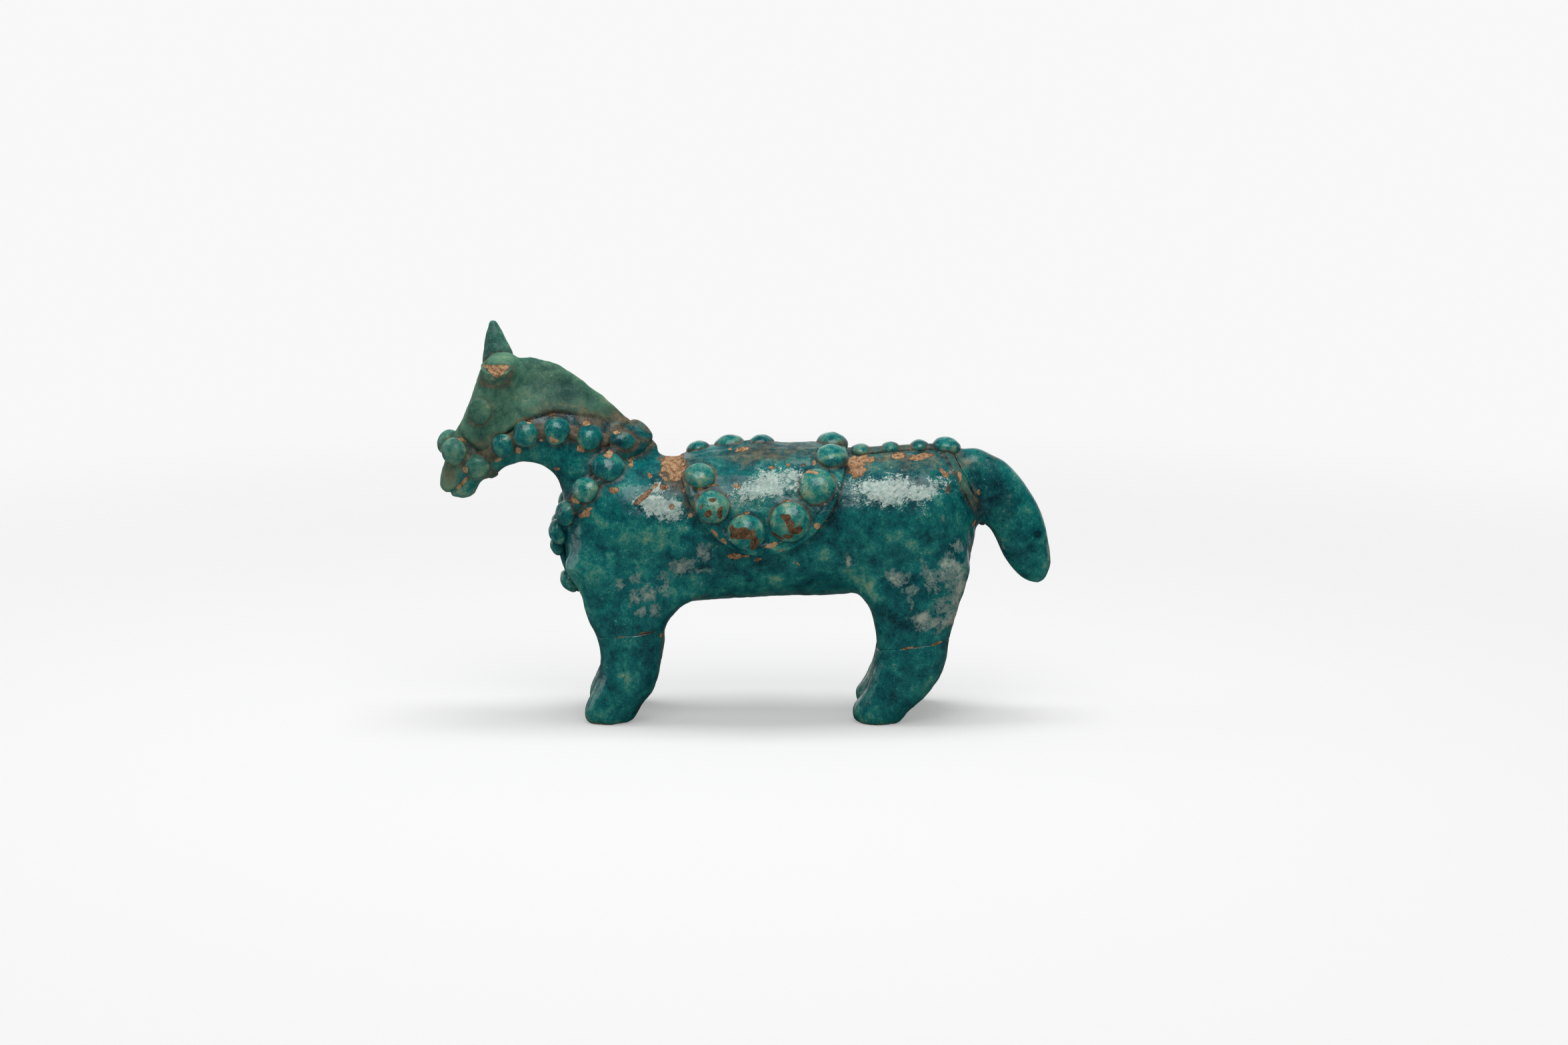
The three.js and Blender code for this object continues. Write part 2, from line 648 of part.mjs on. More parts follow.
const collarRests = roundSteps(22).map((degrees) => {
  const fromTop = Math.min(degrees, 360 - degrees);
  const crestShare = 1 - THREE.MathUtils.smoothstep(fromTop, 15, 75);
  const shape = { breadth: 1 + crestShare, fullness: 1 + 0.3 * crestShare };
  return { ...collarRest(degrees, STRAP_WIDTH / 2), ...shape };
});
const pendantRests = evenSteps(0, PENDANT_DROP, 4).map((drop) => chestRest(drop, STRAP_WIDTH / 2));
const collar = withRoom((thicker) => {
  const pendant = stripAlong(pendantRests, STRAP_WIDTH + 2 * thicker, STRAP_HEIGHT + thicker);
  return stripAlong(collarRests, COLLAR_WIDTH + 2 * thicker, COLLAR_HEIGHT + thicker, true).add(pendant);
});

// Noseband round the muzzle, above the mouth
const NOSEWARD = FACEWARD.clone().addScaledVector(LIPWARD, -0.17).normalize();
const nosebandRest = lineRound(
  () => headPoint(0.68, 0.036, 0),
  () => NOSEWARD,
  HEAD_WIDTH,
);
const nosebandRests = roundSteps(14).map((degrees) => nosebandRest(degrees, STRAP_WIDTH / 2));
const noseband = withRoom((thicker) =>
  stripAlong(nosebandRests, NARROW_STRAP_WIDTH + 2 * thicker, STRAP_HEIGHT + thicker, true),
);

// Reins from the chin back to the collar: the fan's angle, and the rise above the throat as a share of the
// neck's depth
const REIN_WAY = curveThrough([
  [27, 0.797],
  [30, 0.705],
  [42, 0.505],
  [61, 0.393],
  [83, 0.308],
  [104, 0.232],
  [122, 0.204],
  [139, 0.178],
]);

function reinRest(degrees, side, halfWidth) {
  const [rise] = REIN_WAY(degrees);
  const [throat] = NECK_FORM(degrees);
  const target = fanPoint(degrees, THROAT_RADIUS * throat + NECK_DEPTH * rise);
  return restOn(bodySkin, target, SIDEWAYS.clone().multiplyScalar(side), halfWidth);
}

function rein(side) {
  const angles = evenSteps(REIN_BACK, REIN_FRONT, 12);
  const rests = angles.map((degrees) => reinRest(degrees, side, STRAP_WIDTH / 2));
  return withRoom((thicker) => stripAlong(rests, STRAP_WIDTH + 2 * thicker, STRAP_HEIGHT + thicker));
}

const leftRein = rein(LEFT);
const rightRein = rein(RIGHT);

// Saddle cloth: the trunk's own form made thicker, kept inside a round flap on each side
const saddle = withRoom((thicker) => {
  const halfLength = SADDLE_LENGTH / 2 + thicker;
  const drop = FLAP_DROP + FLAP_CENTRE_RISE + thicker;
  const flap = new THREE.Shape();
  flap.absellipse(SADDLE_X, BACK_HEIGHT + FLAP_CENTRE_RISE, halfLength, drop, Math.PI, 2 * Math.PI);
  flap.lineTo(SADDLE_X + halfLength, 2 * BACK_HEIGHT);
  flap.lineTo(SADDLE_X - halfLength, 2 * BACK_HEIGHT);
  const depth = 2 * TRUNK_WIDTH;
  const outline = new THREE.ExtrudeGeometry(flap, { depth, bevelEnabled: false, curveSegments: 16 });
  outline.rotateX(Math.PI / 2);
  outline.translate(0, depth / 2, 0);
  const frontEdge = SADDLE_X - SADDLE_LENGTH / 2;
  const thickness = (normal, { x }) => {
    const ridge = Math.max(0, normal.z) ** 3;
    const thinned = CLOTH_THICKNESS - FRONT_THICKNESS;
    const back = THREE.MathUtils.smoothstep(x, frontEdge, frontEdge + SEAT_RUN);
    return CLOTH_THICKNESS + thicker + ridge * THREE.MathUtils.lerp(-thinned, SEAT_RISE, back);
  };
  return loft(swell(trunkRings(), thickness)).intersect(solidFrom(outline));
});
const saddleSkin = new THREE.Mesh(geometryOf(saddle.solid));

// On a flap: shares of the half length behind the middle of the saddle and of the drop below the back
function flapRest(side, along, drop, halfWidth) {
  const target = new THREE.Vector3(SADDLE_X + (along * SADDLE_LENGTH) / 2, 0, BACK_HEIGHT - drop * FLAP_DROP);
  return restOn(saddleSkin, target, SIDEWAYS.clone().multiplyScalar(side), halfWidth);
}

// Crupper along the spine from the saddle, ending in a loop round the root of the tail
const TAIL_LOOP_TOPWARD = new THREE.Vector3(-0.45, 0, 0.89).normalize();
const tailLoopRest = lineRound(
  () => new THREE.Vector3(RUMP_X - TAIL_LOOP_SETIN, 0, BACK_HEIGHT - TAIL_LOOP_DROP),
  () => TAIL_LOOP_TOPWARD,
  FAR_OFF,
);

function topRest(surface, x, y, halfWidth) {
  return restOn(surface, new THREE.Vector3(x, y, TRUNK_AXIS), UP, halfWidth);
}

const spineRests = evenSteps(SADDLE_X + 0.45 * SADDLE_LENGTH, RUMP_X - CRUPPER_SETIN, 5).map((x) =>
  topRest(bodySkin, x, 0, STRAP_WIDTH / 2),
);
const tailLoopRests = roundSteps(14).map((degrees) => tailLoopRest(degrees, STRAP_WIDTH / 2));
const crupper = withRoom((thicker) => {
  const strap = stripAlong(spineRests, STRAP_WIDTH + 2 * thicker, STRAP_HEIGHT + thicker);
  const loop = stripAlong(tailLoopRests, NARROW_STRAP_WIDTH + 2 * thicker, TAIL_LOOP_HEIGHT + thicker, true);
  return loop.add(strap);
});

// Pellet pressed on at a resting place, stretched along a direction if it isn't round
function pelletSolid({ point, normal }, { radius, height, stretch = 1, lengthwise = UP }, thicker) {
  const wide = radius + thicker;
  const high = height + thicker;
  const outline = [
    [0, -PELLET_SINK],
    [0.88 * wide, -PELLET_SINK],
    [wide, 0.25 * high],
    [0.85 * wide, 0.7 * high],
    [0.48 * wide, 0.95 * high],
    [0, high],
  ];
  const dome = new THREE.LatheGeometry(
    outline.map(([r, h]) => new THREE.Vector2(r, h)),
    10,
  );
  dome.scale(stretch, 1, 1);
  const side = lengthwise.clone().cross(normal).normalize();
  const along = normal.clone().cross(side);
  dome.applyMatrix4(new THREE.Matrix4().makeBasis(along, normal, side).setPosition(point));
  return solidFrom(dome);
}

// Where each pellet rests, its name and its size. The size is a share of the middling radius.
const pelletPlaces = [];

function addPellet(name, restFor, share, underlay, extras = {}) {
  const radius = share * PELLET_RADIUS;
  const height = underlay + PELLET_RISE * radius;
  pelletPlaces.push({ name, rest: restFor(radius / 2), size: { radius, height, ...extras } });
}

// Noseband: degrees round the muzzle from the face, and size
for (const [name, degrees, share] of [
  ["nose_boss_left", -63, 1],
  ["nose_boss_right", 26, 0.98],
  ["chin_boss_left", -136, 0.93],
  ["chin_boss_right", 136, 0.88],
]) {
  addPellet(name, (halfWidth) => nosebandRest(degrees, halfWidth), share, STRAP_HEIGHT);
}

// Reins: the fan's angle and the size, from the chin back. The last is a lump drawn out along the rein.
const REIN_PELLETS = [
  [103.5, 0.9],
  [82.5, 0.95],
  [61, 1],
  [42, 0.98],
  [29.5, 0.93],
];
for (const [side, word] of [
  [LEFT, "left"],
  [RIGHT, "right"],
]) {
  REIN_PELLETS.forEach(([degrees, share], i) => {
    const extras = i === REIN_PELLETS.length - 1 ? { stretch: 1.35, lengthwise: BACKWARD } : {};
    const restFor = (halfWidth) => reinRest(degrees, side, halfWidth);
    addPellet(`rein_boss_${word}_${i + 1}`, restFor, share, STRAP_HEIGHT, extras);
  });
}

// Collar: degrees round the neck from the crest and size, from the top down
const COLLAR_PELLETS = [
  ["left_1", -76, 1.25],
  ["left_2", -107, 1],
  ["left_3", -134, 0.98],
  ["left_4", -159, 0.97],
  ["right_1", 76, 1.25],
  ["right_2", 107, 1],
  ["right_3", 134, 1],
  ["right_4", 157, 0.97],
  ["front", 180, 0.76],
];
for (const [word, degrees, share] of COLLAR_PELLETS) {
  addPellet(`collar_boss_${word}`, (halfWidth) => collarRest(degrees, halfWidth), share, COLLAR_HEIGHT);
}
addPellet("pendant_boss", (halfWidth) => chestRest(0.78 * PENDANT_DROP, halfWidth), 0.9, STRAP_HEIGHT);

// Saddle flaps: place along and share of the drop, and size. The right flap has the lower four.
const FLAP_PELLETS = [
  [-0.751, 0.147, 1.13],
  [-0.604, 0.46, 1.28],
  [-0.196, 0.751, 1.4],
  [0.327, 0.626, 1.53],
  [0.649, 0.253, 1.38],
  [0.841, -0.034, 1.2],
];
FLAP_PELLETS.forEach(([along, drop, share], i) => {
  addPellet(`saddle_boss_left_${i + 1}`, (halfWidth) => flapRest(LEFT, along, drop, halfWidth), share, 0);
});
FLAP_PELLETS.slice(1, -1).forEach(([along, drop, share], i) => {
  addPellet(`saddle_boss_right_${i + 1}`, (halfWidth) => flapRest(RIGHT, along, drop, halfWidth), share, 0);
});

// Along the ridge of the saddle: share of its half length from the middle, share of the trunk's width
// aside, and size
const RIDGE_PELLETS = [
  [-0.784, 0.026, 0.9],
  [-0.4, 0.051, 1.15],
  [-0.012, 0.064, 1.05],
  [0.845, 0.077, 1.23],
];
RIDGE_PELLETS.forEach(([along, aside, share], i) => {
  const x = SADDLE_X + (along * SADDLE_LENGTH) / 2;
  const restFor = (halfWidth) => topRest(saddleSkin, x, aside * TRUNK_WIDTH, halfWidth);
  addPellet(`saddle_boss_ridge_${i + 1}`, restFor, share, 0);
});

// Along the croup: share of the way from the saddle to the rump, size, and how far the strip under it was
// pressed flat
const CROUP_PELLETS = [
  [0.12, 0.88, 0.45],
  [0.348, 0.85, 0.4],
  [0.567, 0.8, 0.6],
  [0.775, 1.06, 1.1],
];
CROUP_PELLETS.forEach(([along, share, pressed], i) => {
  const x = THREE.MathUtils.lerp(SADDLE_X + SADDLE_LENGTH / 2, RUMP_X, along);
  const restFor = (halfWidth) => topRest(bodySkin, x, 0, halfWidth);
  addPellet(`croup_boss_${i + 1}`, restFor, share, pressed * STRAP_HEIGHT);
});

// Glazes and bare clay, as colour and roughness
const TURQUOISE = { color: 0x0f6e70, roughness: 0.3 };
const PALE_GREEN = { color: 0x3f7f68, roughness: 0.55 };
const BARE_CLAY = { color: 0xb08560, roughness: 0.9 };

const horse = new THREE.Group();

function addPiece(name, solid, { color, roughness }) {
  const material = new THREE.MeshStandardMaterial({ color, roughness, metalness: 0 });
  const mesh = new THREE.Mesh(geometryOf(mainBody(solid)), material);
  mesh.name = name;
  horse.add(mesh);
}

addPiece("trunk", trunk, TURQUOISE);
addPiece("lower_foreleg_left", lowerLegSolid(FORE_LEG, LEFT), TURQUOISE);
addPiece("lower_foreleg_right", lowerLegSolid(FORE_LEG, RIGHT), TURQUOISE);
addPiece("lower_hindleg_left", lowerLegSolid(HIND_LEG, LEFT), TURQUOISE);
addPiece("lower_hindleg_right", lowerLegSolid(HIND_LEG, RIGHT), TURQUOISE);
addPiece("neck", neckForm.subtract(trunkRoom).subtract(headRoom), PALE_GREEN);
addPiece("head", headForm.subtract(mouthSlit()), PALE_GREEN);
addPiece("tail", tailForm.subtract(trunkRoom), TURQUOISE);
addPiece("ear_right", earSolid(RIGHT, EAR_HEIGHT), PALE_GREEN);
addPiece("ear_stump_left", earSolid(LEFT, STUMP_HEIGHT).subtract(brokenOff()), BARE_CLAY);
for (const [side, word] of [
  [LEFT, "left"],
  [RIGHT, "right"],
]) {
  const target = headPoint(0.31, 0.107, 0);
  const rest = restOn(bodySkin, target, SIDEWAYS.clone().multiplyScalar(side), EYE_RADIUS / 2);
  const size = { radius: EYE_RADIUS, height: EYE_HEIGHT, stretch: 1.2, lengthwise: LIPWARD };
  addPiece(`eye_${word}`, pelletSolid(rest, size, 0).subtract(headRoom), PALE_GREEN);
}
addPiece("saddle_cloth", saddle.solid.subtract(trunkRoom), TURQUOISE);
addPiece("noseband", noseband.solid.subtract(bodyRoom), PALE_GREEN);
addPiece("breast_collar", collar.solid.subtract(bodyRoom), TURQUOISE);
const reinRoom = bodyRoom.add(noseband.room).add(collar.room);
addPiece("rein_left", leftRein.solid.subtract(reinRoom), TURQUOISE);
addPiece("rein_right", rightRein.solid.subtract(reinRoom), TURQUOISE);
addPiece("crupper", crupper.solid.subtract(bodyRoom).subtract(saddle.room), TURQUOISE);

// The pellets were pressed on last, one after another
let taken = [leftRein, rightRein, saddle, crupper].reduce((sum, piece) => sum.add(piece.room), reinRoom);
for (const { name, rest, size } of pelletPlaces) {
  addPiece(name, pelletSolid(rest, size, 0).subtract(taken), TURQUOISE);
  taken = taken.add(pelletSolid(rest, size, CLAY_GAP));
}

// The origin is on the standing surface, under the middle of the whole figurine
const box = new THREE.Box3().setFromObject(horse);
const middle = box.getCenter(new THREE.Vector3());
horse.position.set(-middle.x, -middle.y, -box.min.z);

export default horse;
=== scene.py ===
# Glazed stonepaste horse on a photographer's white sweep. Lengths are in metres, Z is up, and the horse
# looks along -X with its left side towards the camera.
import math

import bpy
import numpy as np
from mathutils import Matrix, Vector
from mathutils.bvhtree import BVHTree


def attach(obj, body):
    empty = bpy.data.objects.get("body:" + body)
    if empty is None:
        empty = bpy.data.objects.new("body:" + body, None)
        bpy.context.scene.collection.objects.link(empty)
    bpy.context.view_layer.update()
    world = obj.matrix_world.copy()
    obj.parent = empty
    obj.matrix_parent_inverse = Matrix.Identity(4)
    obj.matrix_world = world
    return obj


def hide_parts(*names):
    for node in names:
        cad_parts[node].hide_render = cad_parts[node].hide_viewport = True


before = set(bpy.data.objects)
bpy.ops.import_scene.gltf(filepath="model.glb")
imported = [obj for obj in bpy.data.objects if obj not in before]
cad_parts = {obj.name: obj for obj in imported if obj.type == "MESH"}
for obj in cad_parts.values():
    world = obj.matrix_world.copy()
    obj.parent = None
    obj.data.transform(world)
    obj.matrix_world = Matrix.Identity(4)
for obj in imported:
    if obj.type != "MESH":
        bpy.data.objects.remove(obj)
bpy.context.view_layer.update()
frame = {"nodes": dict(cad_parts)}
MM = 0.001

# The set: a white sweep seen square to the horse's left side and a little from above. A soft box hangs above
# the camera and the glaze mirrors it brighter than it lights. A lamp overhead isn't mirrored, and a weak one
# stands beyond the chest.
VIEW_RISE = math.radians(10)
VIEW_DISTANCE = 1.31
PICTURE_WIDTH = 0.4704
PICTURE_MIDDLE = (0.01178, 0.05688)  # across, and up square to the view
SENSOR_WIDTH = 36

upward = Vector((0, math.sin(VIEW_RISE), math.cos(VIEW_RISE)))
backward = Vector((0, -math.cos(VIEW_RISE), math.sin(VIEW_RISE)))
eye = Vector((PICTURE_MIDDLE[0], 0, 0)) + PICTURE_MIDDLE[1] * upward + VIEW_DISTANCE * backward
bpy.ops.object.camera_add(location=eye, rotation=(math.pi / 2 - VIEW_RISE, 0, 0))
camera = bpy.context.object
camera.data.sensor_width = SENSOR_WIDTH
camera.data.lens = SENSOR_WIDTH * VIEW_DISTANCE / PICTURE_WIDTH
camera.data.clip_start = 0.05
camera.data.clip_end = 20
bpy.context.scene.camera = camera
bpy.context.scene.view_settings.view_transform = "Standard"


def lamp(name, place, aim, size, power, mirrored=True, lights=True):
    turn = (Vector(aim) - Vector(place)).to_track_quat("-Z", "Y").to_euler()
    bpy.ops.object.light_add(type="AREA", location=place, rotation=turn)
    light = bpy.context.object
    light.name = name
    light.data.shape = "RECTANGLE"
    light.data.size, light.data.size_y = size
    light.data.energy = power
    light.visible_glossy = mirrored
    light.visible_diffuse = lights


SOFT_BOX = ((0.02, -0.57, 0.8), (0.02, 0, 0.07), (0.66, 0.62))  # its place, its aim and its two sides
lamp("soft box", *SOFT_BOX, 3.1)
lamp("soft box mirrored", *SOFT_BOX, 7.0, lights=False)
lamp("overhead lamp", (0, 0.08, 0.95), (0, 0, 0.03), (0.5, 0.42), 6.6, mirrored=False)
lamp("chest lamp", (-0.95, 0.12, 0.3), (-0.03, 0, 0.05), (0.6, 0.9), 1.5)


def node(tree, kind, settings=None, sockets=None):
    made = tree.nodes.new("ShaderNode" + kind)
    for key, value in (settings or {}).items():
        setattr(made, key, value)
    for key, value in (sockets or {}).items():
        if isinstance(value, bpy.types.NodeSocket):
            tree.links.new(value, made.inputs[key])
        else:
            made.inputs[key].default_value = value
    return made


def blend(tree, share, under, over):
    return node(tree, "Mix", {"data_type": "RGBA"}, {0: share, 6: under, 7: over}).outputs[2]


SWEEP_WIDTH = 2.4
PAPER_TONE = 0.5
PAPER_GLOW = 0.31  # the share of its own light that lifts the paper in the picture
PAPER_MIRRORED = 0.05  # how bright the glaze sees the paper
PAPER_FADES = (0.17, 0.6)  # how far from the horse the paper begins to clear, and is gone

bpy.ops.mesh.primitive_plane_add(size=SWEEP_WIDTH, location=(0, 0, 0))
sweep = bpy.context.object
sweep.name = "sweep"
paper = bpy.data.materials.new("white paper")
paper.use_nodes = True
tree = paper.node_tree
ray = node(tree, "LightPath")
sheet = tree.nodes["Principled BSDF"]
tree.links.new(
    blend(tree, ray.outputs["Is Glossy Ray"], (PAPER_TONE,) * 3 + (1,), (PAPER_MIRRORED,) * 3 + (1,)),
    sheet.inputs["Base Color"],
)
sheet.inputs["Roughness"].default_value = 1
sheet.inputs["Specular IOR Level"].default_value = 0
glow = node(tree, "Math", {"operation": "MULTIPLY"}, {0: ray.outputs["Is Camera Ray"], 1: PAPER_GLOW})
sheet.inputs["Emission Color"].default_value = (1, 1, 1, 1)
tree.links.new(glow.outputs[0], sheet.inputs["Emission Strength"])
spot = node(tree, "TexCoord")
reach = node(tree, "VectorMath", {"operation": "LENGTH"}, {0: spot.outputs["Object"]})
fade = node(
    tree,
    "MapRange",
    {"interpolation_type": "SMOOTHSTEP"},
    {"Value": reach.outputs["Value"], "From Min": PAPER_FADES[0], "From Max": PAPER_FADES[1]},
)
clear = node(tree, "BsdfTransparent")
faded = node(tree, "MixShader", None, {0: fade.outputs[0], 1: sheet.outputs[0], 2: clear.outputs[0]})
tree.links.new(faded.outputs[0], tree.nodes["Material Output"].inputs["Surface"])
sweep.data.materials.append(paper)

# The room: white where the camera looks past the sweep, dim for the light that it adds, and mirrored in the
# glaze only where it is seen at a glance.
ROOM_WHITE = 0.94
ROOM_LIGHT = 0.36
world = bpy.data.worlds.new("studio")
bpy.context.scene.world = world
world.use_nodes = True
tree = world.node_tree
ray = node(tree, "LightPath")
straight = {0: ray.outputs["Is Camera Ray"], 1: ray.outputs["Is Transmission Ray"]}
through = node(tree, "Math", {"operation": "MAXIMUM"}, straight)
room = node(tree, "Background", None, {"Color": (1, 1, 1, 1), "Strength": ROOM_LIGHT})
way = node(tree, "SeparateXYZ", None, {0: node(tree, "TexCoord").outputs["Generated"]})
glancing = {"Value": way.outputs["Y"], "From Min": 0.45, "From Max": 1.0, "To Min": 0.04, "To Max": 0.9}
behind = node(tree, "MapRange", None, glancing)
mirrored = node(tree, "Background", None, {"Color": (1, 1, 1, 1), "Strength": behind.outputs[0]})
backdrop = node(tree, "Background", None, {"Color": (ROOM_WHITE,) * 3 + (1,)})
lights = {0: ray.outputs["Is Glossy Ray"], 1: room.outputs[0], 2: mirrored.outputs[0]}
lit = node(tree, "MixShader", None, lights)
seen_room = node(tree, "MixShader", None, {0: through.outputs[0], 1: lit.outputs[0], 2: backdrop.outputs[0]})
tree.links.new(seen_room.outputs[0], tree.nodes["World Output"].inputs["Surface"])

# The body: one mass of stonepaste, worked from rolls that were smoothed together with a wet hand. The
# lower legs were broken off once and mended, so a crack runs round each knee.
BODY_NODES = [
    "trunk",
    "lower_foreleg_left",
    "lower_foreleg_right",
    "lower_hindleg_left",
    "lower_hindleg_right",
    "neck",
    "head",
    "tail",
]
BODY_GRAIN = 0.55 * MM  # edge length of the body's finished mesh
SEAM = 0.3 * MM  # gap that the solids leave between pieces


def alone(piece):
    bpy.ops.object.select_all(action="DESELECT")
    piece.select_set(True)
    bpy.context.view_layer.objects.active = piece


def clay_copy(name, source, swelling):
    piece = bpy.data.objects.new(name, frame["nodes"][source].data.copy())
    bpy.context.scene.collection.objects.link(piece)
    piece.data.materials.clear()
    alone(piece)
    bpy.ops.object.mode_set(mode="EDIT")
    bpy.ops.mesh.select_all(action="SELECT")
    bpy.ops.mesh.remove_doubles(threshold=0.001 * MM)
    bpy.ops.transform.shrink_fatten(value=swelling)
    bpy.ops.object.mode_set(mode="OBJECT")
    return piece


def finish_with(piece, kind, **settings):
    alone(piece)
    modifier = piece.modifiers.new("work", kind)
    for key, value in settings.items():
        setattr(modifier, key, value)
    bpy.ops.object.modifier_apply(modifier=modifier.name)


def numbers(rows, key, width=1, kind=np.float32):
    flat = np.empty(width * len(rows), kind)
    rows.foreach_get(key, flat)
    return flat.reshape(-1, width).astype(float if kind is np.float32 else int)


def points_of(piece):
    return numbers(piece.data.vertices, "co", 3)


def set_points(piece, points):
    piece.data.vertices.foreach_set("co", points.astype(np.float32).ravel())
    piece.data.update()


def normals_of(piece):
    return numbers(piece.data.vertex_normals, "vector", 3)


def edges_of(piece):
    return numbers(piece.data.edges, "vertices", 2, np.int32)


def neighbour_mean(values, edges):
    count = len(values)
    a, b = edges.T
    degree = np.maximum(np.bincount(a, minlength=count) + np.bincount(b, minlength=count), 1)
    columns = [
        (np.bincount(a, column[b], count) + np.bincount(b, column[a], count)) / degree for column in values.T
    ]
    return np.stack(columns, axis=1)


def smoothed(values, edges, passes):
    for _ in range(passes):
        values = values + 0.5 * (neighbour_mean(values, edges) - values)
    return values


# Fills the creases where rolls meet, and leaves what stands out
def fill_creases(piece, rounds, passes):
    edges = edges_of(piece)
    for _ in range(rounds):
        points = points_of(piece)
        normals = normals_of(piece)
        for _ in range(passes):
            step = 0.5 * (neighbour_mean(points, edges) - points)
            outward = np.einsum("ij,ij->i", step, normals)
            points = points + step * (outward > 0)[:, None]
        set_points(piece, points)


# Rounds a piece as a wet hand would, and gives back what the smoothing takes off its thin places
def round_off(piece, passes, returns=2):
    edges = edges_of(piece)
    points = points_of(piece)
    calm = smoothed(points, edges, passes)
    for _ in range(returns):
        calm = calm + smoothed(points - calm, edges, passes)
    set_points(piece, calm)


# Waves in the clay, from the maker's fingers: seven that cross, mostly between -1 and 1 together
def waves(points, length, seed):
    draws = np.random.default_rng(seed)
    total = np.zeros(len(points))
    for _ in range(7):
        direction = draws.normal(size=3)
        direction *= 2 * math.pi / (length * draws.uniform(0.7, 1.6) * np.linalg.norm(direction))
        total += np.sin(points @ direction + draws.uniform(0, 2 * math.pi))
    return total / 2.6


def push_out(piece, distances):
    set_points(piece, points_of(piece) + normals_of(piece) * distances[:, None])


def join_up(pieces, name):
    bpy.ops.object.select_all(action="DESELECT")
    for piece in pieces:
        piece.select_set(True)
    bpy.context.view_layer.objects.active = pieces[0]
    bpy.ops.object.join()
    bpy.context.object.name = name
    return bpy.context.object


body = join_up([clay_copy(name, name, 0.7 * SEAM) for name in BODY_NODES], "body")
finish_with(body, "REMESH", mode="VOXEL", voxel_size=BODY_GRAIN)
fill_creases(body, 12, 12)
round_off(body, 60)
points = points_of(body)
finger_marks = (
    0.24 * waves(points, 16 * MM, 3) + 0.09 * waves(points, 6 * MM, 5) + 0.04 * waves(points, 2.5 * MM, 7)
)
push_out(body, finger_marks * MM)

# The lower edge of the pale sheet of clay that covers the head and the crest, from the noseband round
# the cheek and along the rein to its hind tip: across and up in millimetres, and how deep the step is
CHEEK_LINE = [
    (-86.0, 89.5, 0.2),
    (-83.4, 86.0, 0.7),
    (-81.0, 83.0, 1.0),
    (-79.0, 81.2, 1.0),
    (-76.9, 80.4, 1.0),
    (-74.3, 81.9, 1.0),
    (-69.7, 86.6, 1.0),
    (-61.9, 90.9, 0.7),
    (-55.3, 92.2, 0.5),
    (-44.8, 90.6, 0.4),
    (-37.8, 88.6, 0.4),
    (-31.3, 86.2, 0.5),
]


# How far above the line each point lies, as seen square from the side, and how deep the step is there
def from_line(points, line):
    best = np.full(len(points), np.inf)
    side = np.zeros(len(points))
    weight = np.zeros(len(points))
    for (x0, z0, w0), (x1, z1, w1) in zip(line, line[1:]):
        start = np.array([x0, z0]) * MM
        run = np.array([x1 - x0, z1 - z0]) * MM
        offset = points[:, [0, 2]] - start
        share = np.clip(offset @ run / (run @ run), 0, 1)
        away = offset - share[:, None] * run
        gap = np.linalg.norm(away, axis=1)
        near = gap < best
        best = np.where(near, gap, best)
        side = np.where(near, np.sign(run[0] * offset[:, 1] - run[1] * offset[:, 0]), side)
        weight = np.where(near, w0 + share * (w1 - w0), weight)
    return best * side, weight


points = points_of(body)
above, depth = from_line(points, CHEEK_LINE)
step = np.where(
    above > 0,
    0.6 * np.minimum(above / (0.7 * MM), 1) * np.exp(-above / (7 * MM)),
    -1.1 * np.minimum(-above / (0.5 * MM), 1) * np.exp(above / (3.5 * MM)),
)
step = step * depth * np.clip((np.abs(points[:, 1]) - 1.5 * MM) / (2.5 * MM), 0, 1)
points[:, 1] += np.sign(points[:, 1]) * step * MM
points[:, 2] = np.maximum(points[:, 2], 0)
set_points(body, points)

NECK_ROOT = (-25.5, 82)  # across and up: where the crest runs out into the withers in a small swelling
from_root = (points[:, [0, 2]] / MM - NECK_ROOT) / 3
push_out(body, 1.2 * MM * np.exp(-(from_root**2).sum(axis=1)))


# The solids' skin, which tells how near one piece is to the next
def skin_of(names):
    corners = []
    faces = []
    for name in names:
        mesh = frame["nodes"][name].data
        start = len(corners)
        corners.extend(corner.co.copy() for corner in mesh.vertices)
        faces.extend([start + corner for corner in face.vertices] for face in mesh.polygons)
    return BVHTree.FromPolygons(corners, faces)


# How far each point is from a skin, up to the given reach
def gaps(points, skin, reach):
    far = np.full(len(points), reach)
    for index, point in enumerate(points.tolist()):
        distance = skin.find_nearest(point, reach)[3]
        if distance is not None:
            far[index] = distance
    return far


TRIM_NODES = [name for name in sorted(frame["nodes"]) if name not in BODY_NODES]
BEAD_NODES = [name for name in TRIM_NODES if "_boss" in name]
whole_skin = skin_of(frame["nodes"])
trim_skin = skin_of(TRIM_NODES)
body_skin = skin_of(BODY_NODES)
trim_gap = gaps(points_of(body), trim_skin, 5 * MM)
push_out(body, 0.35 * MM * np.exp(-((trim_gap / (0.9 * MM)) ** 2)))

SOLE_LINE = 4.32 * MM  # how far the near soles show below the middle of the standing surface


# Where a point shows from the left, across and up from the near soles, in millimetres
def picture(points):
    away = points - np.array(eye)
    scale = VIEW_DISTANCE / -(away @ np.array(backward))
    up = away @ np.array(upward) * scale + PICTURE_MIDDLE[1] + SOLE_LINE
    return np.stack([away[:, 0] * scale + PICTURE_MIDDLE[0], up], axis=1) / MM


